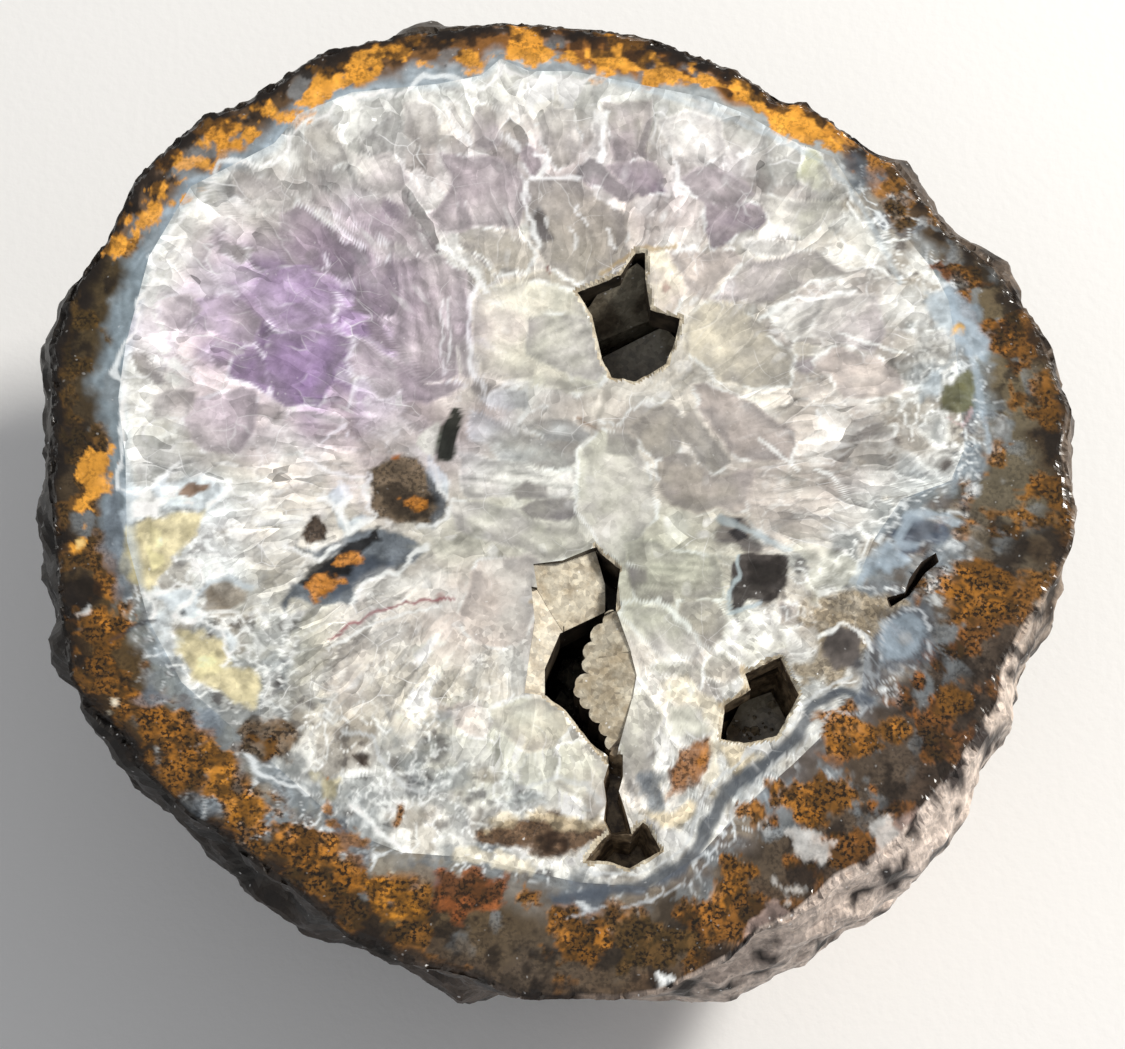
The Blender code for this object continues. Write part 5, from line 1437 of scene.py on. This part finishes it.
def chip_edges(points, gap, seed, width, depth):
    """Lower the points of the sawn face next to an edge by uneven chips."""
    flat = points[:, :2] / MM
    uneven = 0.5 + cloud(flat / 1.1, seed, 3) * 0.5
    wide = width / MM * (0.35 + 0.9 * np.clip(uneven, 0.0, 1.0))
    share = np.clip(1.0 - gap / wide, 0.0, 1.0)
    drop = share ** 1.4 * depth * (0.35 + 0.9 * np.clip(cloud(flat / 0.7, seed + 9, 2) + 0.5, 0, 1))
    points[:, 2] -= np.where(points[:, 2] > (FACE_HEIGHT - ON_FACE) * MM, drop, 0.0)


def aim(obj, spot):
    """Turn a light or camera towards a spot."""
    obj.rotation_euler = (Vector(spot) - obj.location).to_track_quat("-Z", "Y").to_euler()


def add_node(tree, kind, inputs=None, **settings):
    """A node with its settings, and its inputs set to values or linked from sockets."""
    node = tree.nodes.new(kind)
    for name, value in settings.items():
        setattr(node, name, value)
    for socket, value in (inputs or {}).items():
        if isinstance(value, bpy.types.NodeSocket):
            tree.links.new(value, node.inputs[socket])
        else:
            node.inputs[socket].default_value = value
    return node


def blend(tree, share, first, second, kind="MIX"):
    """Colour output of two colours blended by a share."""
    node = add_node(tree, "ShaderNodeMix", {0: share, 6: first, 7: second},
                    data_type="RGBA", blend_type=kind)
    return node.outputs[2]


def step_up(tree, value, low, high, top=1.0):
    """Share from 0 to top while a value goes from low to high."""
    node = add_node(tree, "ShaderNodeMapRange", {0: value, 1: low, 2: high, 3: 0.0, 4: top},
                    interpolation_type="SMOOTHSTEP")
    return node.outputs[0]


def times(tree, first, second, operation="MULTIPLY"):
    """Result from two values: their product, unless another operation is named."""
    return add_node(tree, "ShaderNodeMath", {0: first, 1: second}, operation=operation).outputs[0]


def vector(tree, operation, first, second=None, scale=None):
    """Output of a vector operation; its length or product where the operation gives a number."""
    inputs = {0: first}
    if second is not None:
        inputs[1] = second
    if scale is not None:
        inputs["Scale"] = scale
    outputs = add_node(tree, "ShaderNodeVectorMath", inputs, operation=operation).outputs
    return outputs["Value"] if operation in ("LENGTH", "DOT_PRODUCT") else outputs[0]


def scaled(tree, value, factor, extra):
    """A value times a factor plus something more."""
    return add_node(tree, "ShaderNodeMath", {0: value, 1: factor, 2: extra},
                    operation="MULTIPLY_ADD").outputs[0]


def mottle(tree, spot, scale, detail, roughness=0.5):
    """Outputs of layered noise: a value first, and a colour."""
    return add_node(tree, "ShaderNodeTexNoise", {
        "Vector": spot, "Scale": scale, "Detail": detail, "Roughness": roughness}).outputs


def new_group(name, inputs, outputs):
    """An empty group of shader nodes with its sockets, and the outputs of its input node."""
    group = bpy.data.node_groups.new(name, "ShaderNodeTree")
    for side, sockets in (("INPUT", inputs), ("OUTPUT", outputs)):
        for socket in sockets:
            kind = "Color" if socket in ("Tone", "Color") else "Float"
            group.interface.new_socket(socket, in_out=side, socket_type="NodeSocket" + kind)
    return group, group.nodes.new("NodeGroupInput").outputs


def facet_layer(tree, tone, spot, scale, depth, glints, flat):
    """Flat-looking crystal faces: own tone per cell, painted light and shade across it, painted glints.
    """
    cell = add_node(tree, "ShaderNodeTexVoronoi", {"Vector": spot, "Scale": scale},
                    voronoi_dimensions="2D" if flat else "3D").outputs
    centred = vector(tree, "SUBTRACT", cell["Color"], (0.5, 0.5, 0.5))
    away = vector(tree, "SUBTRACT", spot, cell["Position"])
    painted_tilt_shade = vector(tree, "DOT_PRODUCT", away, centred)
    split = add_node(tree, "ShaderNodeSeparateXYZ", {0: centred}).outputs
    shade = scaled(tree, painted_tilt_shade, scale * PAINTED_SHADE_TILT, split[0])
    tone = vector(tree, "SCALE", tone, scale=scaled(tree, shade, depth, 1.0))
    lucky = times(tree, step_up(tree, split[1], 0.40, 0.46, glints),
                  step_up(tree, cell["Distance"], 0.55, 0.2))
    return tone, lucky


def mineral_group():
    """Fine detail of the stone: black specks, sugary grains and tiny painted glints."""
    known = bpy.data.node_groups.get("mineral_grain")
    if known:
        return known
    group, given = new_group("mineral_grain", ("Tone", "Specks", "Sugar"),
                             ("Color", "Roughness", "Height"))
    spot = add_node(group, "ShaderNodeTexCoord").outputs["Object"]
    warp = vector(group, "SCALE", mottle(group, spot, 420.0, 3.0)["Color"], scale=0.0016)
    bent = vector(group, "ADD", spot, warp)

    mist = mottle(group, spot, 650.0, 4.0, 0.65)[0]
    darker = blend(group, 1.0, given["Tone"], MIST_DARK, "MULTIPLY")
    paler = blend(group, 1.0, given["Tone"], MIST_LIGHT, "MULTIPLY")
    tone = blend(group, step_up(group, mist, 0.3, 0.7), darker, paler)

    dots = mottle(group, spot, 2500.0, 2.0)[0]
    clump = step_up(group, mottle(group, bent, 700.0, 2.0)[0], 0.32, 0.56)
    speck = times(group, times(group, step_up(group, dots, 0.46, 0.58), clump), given["Specks"])
    tone = blend(group, times(group, speck, 0.92), tone, SPECK_BLACK)
    glow = times(group, step_up(group, dots, 0.44, 0.34, 0.8), given["Specks"])
    tone = blend(group, glow, tone, SPECK_GLOW, "MULTIPLY")

    grains = add_node(group, "ShaderNodeTexVoronoi", {"Vector": spot, "Scale": 1900.0}).outputs
    shade = add_node(group, "ShaderNodeSeparateColor", {0: grains["Color"]}).outputs[0]
    dark_grain = blend(group, times(group, given["Sugar"], 0.55), tone, SUGAR_DARK,
                       "MULTIPLY")
    light_grain = blend(group, given["Sugar"], tone, SUGAR_LIGHT, "MULTIPLY")
    tone = blend(group, shade, dark_grain, light_grain)
    # Painted glints: tiny white dots, more of them where the stone is sugary
    sparks = add_node(group, "ShaderNodeTexVoronoi", {"Vector": bent, "Scale": 2100.0}).outputs
    lucky = add_node(group, "ShaderNodeSeparateColor", {0: sparks["Color"]}).outputs[1]
    painted_sparkle = times(group, step_up(group, lucky, 0.95, 0.97),
                  step_up(group, sparks["Distance"], 0.34, 0.12))
    painted_sparkle = times(group, painted_sparkle, scaled(group, given["Sugar"], 0.8, 0.07))
    tone = blend(group, painted_sparkle, tone, PAINTED_SPARKLE_WHITE)

    out = group.nodes.new("NodeGroupOutput").inputs
    group.links.new(tone, out["Color"])
    group.links.new(scaled(group, given["Sugar"], 0.3, 0.16), out["Roughness"])
    height = times(group, times(group, shade, given["Sugar"]), 0.6)
    group.links.new(times(group, height, times(group, mist, 0.25), "ADD"), out["Height"])
    return group


def crystal_group():
    """Quartz crystal faces in painted light and shade: radial by the rind, blocky inside, edge lines."""
    group, given = new_group("crystal_faces", ("Tone", "Facets"), ("Color",))
    spot = add_node(group, "ShaderNodeTexCoord").outputs["Object"]
    level = vector(group, "MULTIPLY", spot, LEVEL)
    far = vector(group, "LENGTH", level)
    way = vector(group, "SCALE", vector(group, "NORMALIZE", level), scale=0.036)
    lift = add_node(group, "ShaderNodeCombineXYZ", {2: times(group, far, 0.38)}).outputs[0]
    wave = vector(group, "SCALE", mottle(group, spot, 160.0, 2.0)["Color"], scale=0.0035)
    radial = vector(group, "ADD", vector(group, "ADD", way, lift), wave)
    spread = vector(group, "MULTIPLY", vector(group, "ADD", spot, wave), LEVEL)
    outer = step_up(group, far, 0.015, 0.027)
    inner = times(group, 1.0, outer, "SUBTRACT")
    tone = faceted = given["Tone"]
    glint = 0.0
    # Painted light and shade on the crystal faces, and painted glints in a few cells
    for place, scale, depth, glints, share in (
        (radial, 330.0, 0.34, 0.30, outer), (radial, 800.0, 0.28, 0.5, outer),
        (spread, 240.0, 0.24, 0.12, inner), (spread, 700.0, 0.20, 0.40, inner),
    ):
        faceted, lucky = facet_layer(
            group, faceted, place, scale, times(group, share, depth), glints, place == spread)
        glint = times(group, times(group, lucky, share), glint, "MAXIMUM")
    tone = blend(group, given["Facets"], tone, faceted)
    tone = blend(group, times(group, glint, given["Facets"]), tone, GLINT_WHITE)
    # White lines along cell edges: partly the white of fractures, partly painted highlight
    for place, scale, wide, share, within in (
        (radial, 330.0, 0.032, 0.5, outer), (spread, 230.0, 0.018, 0.5, 1.0),
    ):
        edge = add_node(group, "ShaderNodeTexVoronoi", {"Vector": place, "Scale": scale},
                        feature="DISTANCE_TO_EDGE",
                        voronoi_dimensions="2D" if place == spread else "3D").outputs["Distance"]
        open_part = step_up(group, mottle(group, spot, scale * 0.7, 2.0)[0], 0.49, 0.62)
        white_edge_line = times(group, step_up(group, edge, wide, 0.0, share), open_part)
        white_edge_line = times(group, times(group, white_edge_line, given["Facets"]), within)
        tone = blend(group, white_edge_line, tone, EDGE_LINE_WHITE)
    group.links.new(tone, group.nodes.new("NodeGroupOutput").inputs["Color"])
    return group


def new_material(name, roughness):
    """A new material, its nodes and its shader."""
    made = bpy.data.materials.new(name)
    made.use_nodes = True
    shader = made.node_tree.nodes["Principled BSDF"]
    shader.inputs["Roughness"].default_value = roughness
    return made, made.node_tree, shader


def raise_surface(tree, shader, strength, height, distance=GRAIN_HEIGHT):
    """Fine relief from a height."""
    bump = add_node(tree, "ShaderNodeBump", {
        "Strength": strength, "Distance": distance, "Height": height})
    tree.links.new(bump.outputs[0], shader.inputs["Normal"])


def stone_material(name, relief, coat, roughness=None, crystals=False):
    """Stone that shows the piece's own paint and grain, finished by the shared fine detail."""
    made, tree, shader = new_material(name, roughness or 0.5)
    paint = add_node(tree, "ShaderNodeAttribute", attribute_name="paint").outputs["Color"]
    grain = add_node(tree, "ShaderNodeAttribute", attribute_name="grain").outputs["Color"]
    parts = add_node(tree, "ShaderNodeSeparateColor", {0: grain}).outputs
    fine = add_node(tree, "ShaderNodeGroup", node_tree=mineral_group())
    if crystals:
        faces = add_node(tree, "ShaderNodeGroup", node_tree=crystal_group())
        tree.links.new(paint, faces.inputs["Tone"])
        tree.links.new(parts[2], faces.inputs["Facets"])
        paint = faces.outputs["Color"]
    for socket, value in (("Tone", paint), ("Specks", parts[0]), ("Sugar", parts[1])):
        tree.links.new(value, fine.inputs[socket])
    tree.links.new(fine.outputs["Color"], shader.inputs["Base Color"])
    if roughness is None:
        tree.links.new(fine.outputs["Roughness"], shader.inputs["Roughness"])
    raise_surface(tree, shader, relief, fine.outputs["Height"])
    for socket, value in (("Coat Weight", coat), ("Coat Roughness", 0.06),
                          ("Specular IOR Level", 0.3)):
        shader.inputs[socket].default_value = value
    return made


def grown_material(name, dark, light, roughness, clear=0.0, size=500.0):
    """Broken or grown stone without paint: two tones, sugary grains and a rough relief."""
    made, tree, shader = new_material(name, roughness)
    spot = add_node(tree, "ShaderNodeTexCoord").outputs["Object"]
    mist = mottle(tree, spot, size, 5.0, 0.6)[0]
    tone = blend(tree, step_up(tree, mist, 0.36, 0.64), (*dark, 1.0), (*light, 1.0))
    fine = add_node(tree, "ShaderNodeGroup", {"Tone": tone, "Specks": 0.15, "Sugar": 0.8},
                    node_tree=mineral_group())
    tree.links.new(fine.outputs["Color"], shader.inputs["Base Color"])
    shader.inputs["Transmission Weight"].default_value = clear
    shader.inputs["IOR"].default_value = QUARTZ_IOR
    raise_surface(tree, shader, 0.5, fine.outputs["Height"])
    return made


def floor_material(colour):
    """Pale paper with faint clouds and fibres."""
    made, tree, shader = new_material("pale_paper", 0.75)
    spot = add_node(tree, "ShaderNodeTexCoord").outputs["Object"]
    share = step_up(tree, mottle(tree, spot, 9.0, 4.0)[0], 0.3, 0.7, 0.06)
    tone = blend(tree, share, (*colour, 1.0), FLOOR_CLOUD)
    tree.links.new(tone, shader.inputs["Base Color"])
    raise_surface(tree, shader, 0.12, mottle(tree, spot, 900.0, 3.0)[0], 0.0004)
    return made


def dress_rind(rind):
    """Paint, grain and materials of the rind."""
    points = vertex_points(rind)
    flat = points[:, :2] / MM - SHIFT
    angle = np.arctan2(flat[:, 1], flat[:, 0]) % math.tau
    radius = np.hypot(flat[:, 0], flat[:, 1])
    rim_gap = reach(RIM, angle) - radius
    sizes = bpy.context.scene.geode_sizes
    on_face = points[:, 2] > (FACE_HEIGHT - ON_FACE) * MM
    edge_gap = np.where(on_face, np.maximum(rim_gap, 0.0), NO_CHIPS)
    chip_edges(points, edge_gap, RIM_CHIP_SEED, sizes.chip_width, sizes.chip_depth)
    mouth_gap = np.minimum(path_gap(SLIT_MOUTH, flat, True), path_gap(NICK_MOUTH, flat, True))
    chip_edges(points, mouth_gap, SLIT_CHIP_SEED, sizes.chip_width * 0.5,
               sizes.chip_depth * 0.4)
    set_vertex_points(rind, points)
    upper = points[:, 2] > (FACE_HEIGHT - RIND_PAINT_DEPTH) * MM
    paint, grain = outside_paint(points / MM)
    face = upper & (rim_gap >= RIM_MARGIN)
    paint[face], grain[face] = rind_paint(flat[face])
    store(rind, paint, grain)

    middles, depths, up = face_values(rind)
    away = np.hypot(middles[:, 0], middles[:, 1])
    turn = np.arctan2(middles[:, 1], middles[:, 0]) % math.tau
    inner, outer = reach(QUARTZ_EDGE, turn), reach(RIM, turn)
    numbers = np.ones(len(depths), int)
    polished = (depths < RIND_POLISHED_DEPTH) & (up > RIND_POLISHED_UP)
    numbers[polished & (away < outer - RIND_POLISHED_MARGIN)] = 0
    lining = (away < outer - LINING_MARGIN) & (depths > LINING_DEPTH) & (up < LINING_UP)
    lining &= depths < CAVITY_DEPTH + 1.0
    lining &= (away < inner + LINING_REACH) | (depths < SLIT_LINING_DEPTH)
    numbers[lining] = 2
    set_materials(rind, [
        stone_material("polished_agate", 0.12, 0.0),
        stone_material("rough_crust", 0.9, 0.1, 0.5),
        grown_material("rind_hollow_wall", *RIND_WALL_TONES, 0.6),
    ], numbers)


def dress_quartz(quartz):
    """Paint, grain and materials of the quartz."""
    points = vertex_points(quartz)
    flat = points[:, :2] / MM - SHIFT
    sizes = bpy.context.scene.geode_sizes
    mouths = (UPPER_MOUTH, LOWER_MOUTH, SIDE_MOUTH, FOOT_MOUTH)
    gap = np.min([path_gap(mouth, flat, True) for mouth in mouths], axis=0)
    chip_edges(points, gap, MOUTH_CHIP_SEED, sizes.chip_width * 0.5, sizes.chip_depth * 0.45)
    set_vertex_points(quartz, points)
    paint = np.tile(linear(TONES["grey"]), (len(points), 1))
    grain = np.tile((0.0, 0.4, 0.5), (len(points), 1))
    face = points[:, 2] > (FACE_HEIGHT - QUARTZ_PAINT_DEPTH) * MM
    paint[face], grain[face] = quartz_paint(flat[face])
    store(quartz, paint, grain)
    middles, depths, up = face_values(quartz)
    numbers = np.zeros(len(depths), int)
    # Steep and deep faces get the near-black wall material, which is painted shade
    numbers[(up < WALL_UP) | (depths > WALL_DEPTH)] = 1
    sloping = (up > WALL_UP) & (up < LEVEL_UP) & (depths > SLOPE_DEPTH) & (depths < WALL_DEPTH)
    numbers[sloping] = 2
    for mouth in (FOOT_MOUTH, SIDE_MOUTH, GROOVE_MOUTH):
        druse = inside_gap(mouth, middles) > -DRUSE_MARGIN
        numbers[druse & (depths > DRUSE_DEPTH)] = 3
    set_materials(quartz, [
        stone_material("polished_quartz", 0.12, 0.0, crystals=True),
        grown_material("hollow_wall", *HOLLOW_SHADE_TONES, 0.45),
        grown_material("sandy_crystal", *SANDY_TONES, 0.5),
        grown_material("brown_druse", *DRUSE_TONES, 0.5, size=700.0),
    ], numbers)


def make_stage():
    """The pale floor, the lights, the sky and the camera."""
    scene = bpy.context.scene
    sizes, colours = scene.geode_sizes, scene.geode_colours
    bm = bmesh.new()
    bmesh.ops.create_grid(bm, x_segments=1, y_segments=1, size=sizes.floor_size / 2.0)
    floor = new_object(bm, "floor")
    floor.data.materials.append(floor_material(colours.floor))

    spot = to_model(CAMERA_SPOT)
    camera_data = bpy.data.cameras.new("camera")
    camera_data.lens = CAMERA_LENS
    camera_data.sensor_width = 36.0
    camera = bpy.data.objects.new("camera", camera_data)
    scene.collection.objects.link(camera)
    rise = math.radians(CAMERA_RISE)
    camera.location = spot + Vector((0.0, -math.cos(rise), math.sin(rise))) * CAMERA_AWAY
    aim(camera, spot)
    scene.camera = camera

    for name, power, size, place, colour in (
        ("key_light", sizes.key_power, sizes.key_size, KEY_PLACE, colours.key),
        ("fill_light", sizes.fill_power, FILL_SIZE, FILL_PLACE, colours.sky),
    ):
        lamp = bpy.data.lights.new(name, "AREA")
        lamp.energy = power
        lamp.size = size
        lamp.color = colour
        light = bpy.data.objects.new(name, lamp)
        light.location = place
        scene.collection.objects.link(light)
        aim(light, AIM_SPOT)
    world = bpy.data.worlds.new("studio")
    world.use_nodes = True
    sky = world.node_tree.nodes["Background"].inputs
    sky["Color"].default_value = (*colours.sky, 1.0)
    sky["Strength"].default_value = SKY_STRENGTH
    scene.world = world
    scene.view_settings.view_transform = "Standard"


class GeodeSizes(bpy.types.PropertyGroup):
    """Sizes and powers."""

    chip_width: FloatProperty(
        name="Chip width", description="Width of the chips along the sawn edge",
        default=0.0011, min=0.0, unit="LENGTH")
    chip_depth: FloatProperty(
        name="Chip depth", description="Depth of the chips along the sawn edge",
        default=0.0007, min=0.0, unit="LENGTH")
    floor_size: FloatProperty(
        name="Floor size", description="Width of the floor", default=3.0, min=0.5, unit="LENGTH")
    key_size: FloatProperty(
        name="Key size", description="Width of the main light", default=0.16, min=0.01,
        unit="LENGTH")
    key_power: FloatProperty(
        name="Key power", description="Power of the main light", default=8.6, min=0.0,
        unit="POWER")
    fill_power: FloatProperty(
        name="Fill power", description="Power of the second light", default=0.8, min=0.0,
        unit="POWER")


class GeodeColours(bpy.types.PropertyGroup):
    """Colours of the pieces without paint."""

    crystal_dark: FloatVectorProperty(
        name="Crystal shade", description="Darker tone of the crystals in the hollows",
        default=(0.16, 0.13, 0.095), subtype="COLOR", min=0.0, max=1.0)
    crystal_light: FloatVectorProperty(
        name="Crystal light", description="Lighter tone of the crystals in the hollows",
        default=(0.40, 0.36, 0.28), subtype="COLOR", min=0.0, max=1.0)
    floor: FloatVectorProperty(
        name="Floor", description="Colour of the floor", default=(0.91, 0.905, 0.90),
        subtype="COLOR", min=0.0, max=1.0)
    sky: FloatVectorProperty(
        name="Sky", description="Colour of the light from all round",
        default=(0.97, 0.98, 1.0), subtype="COLOR", min=0.0, max=1.0)
    key: FloatVectorProperty(
        name="Key light", description="Colour of the main light", default=(1.0, 0.965, 0.90),
        subtype="COLOR", min=0.0, max=1.0)


def checked(piece, label):
    """The piece again, or an error when its mesh came out empty."""
    if not piece or not piece.data.polygons:
        raise RuntimeError(f"the {label} came out with no faces")
    return piece


class GEODE_OT_rind(bpy.types.Operator):
    """Make the rind of agate, moss stone and rough crust"""

    bl_idname = "geode.rind"
    bl_label = "Rind"

    def execute(self, context):
        rind = checked(make_rind(), "rind")
        dress_rind(rind)
        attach(rind, "root")
        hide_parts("rind")
        return {"FINISHED"}


class GEODE_OT_quartz(bpy.types.Operator):
    """Make the polished quartz filling with its open hollows"""

    bl_idname = "geode.quartz"
    bl_label = "Quartz filling"

    def execute(self, context):
        quartz = checked(make_quartz(), "quartz filling")
        dress_quartz(quartz)
        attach(quartz, "root")
        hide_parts("quartz_fill")
        return {"FINISHED"}


class GEODE_OT_crusts(bpy.types.Operator):
    """Make the crusts of crystals on the floors of the hollows"""

    bl_idname = "geode.crusts"
    bl_label = "Hollow crystals"

    def execute(self, context):
        colours = context.scene.geode_colours
        crystal = grown_material("hollow_crystal", colours.crystal_dark, colours.crystal_light,
                                 0.2, clear=0.25, size=220.0)
        for node, crust in make_crusts():
            checked(crust, node)
            crust.data.materials.append(crystal)
            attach(crust, "root")
            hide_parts(node)
        return {"FINISHED"}


class GEODE_OT_stage(bpy.types.Operator):
    """Make the floor, the lights and the camera"""

    bl_idname = "geode.stage"
    bl_label = "Stage"

    def execute(self, context):
        make_stage()
        if context.scene.camera is None:
            raise RuntimeError("the stage has no camera")
        return {"FINISHED"}


class GEODE_PT_panel(bpy.types.Panel):
    """Sizes, colours and steps of the geode half"""

    bl_label = "Geode Half"
    bl_space_type = "VIEW_3D"
    bl_region_type = "UI"
    bl_category = "Geode"

    def draw(self, context):
        for group in (context.scene.geode_sizes, context.scene.geode_colours):
            for name in group.bl_rna.properties.keys():
                if name not in ("rna_type", "name"):
                    self.layout.prop(group, name)
        for operator in OPERATORS:
            self.layout.operator(operator.bl_idname)


OPERATORS = (GEODE_OT_rind, GEODE_OT_quartz, GEODE_OT_crusts, GEODE_OT_stage)
CLASSES = (GeodeSizes, GeodeColours, *OPERATORS, GEODE_PT_panel)


def register():
    """Register all the classes, and keep the sizes and colours with the scene."""
    for made in CLASSES:
        bpy.utils.register_class(made)
    bpy.types.Scene.geode_sizes = PointerProperty(type=GeodeSizes)
    bpy.types.Scene.geode_colours = PointerProperty(type=GeodeColours)


def unregister():
    """Undo what register did."""
    del bpy.types.Scene.geode_colours
    del bpy.types.Scene.geode_sizes
    for made in reversed(CLASSES):
        bpy.utils.unregister_class(made)


def main():
    """Register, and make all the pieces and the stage."""
    register()
    bpy.ops.geode.rind()
    bpy.ops.geode.quartz()
    bpy.ops.geode.crusts()
    bpy.ops.geode.stage()


if __name__ == "__main__":
    main()
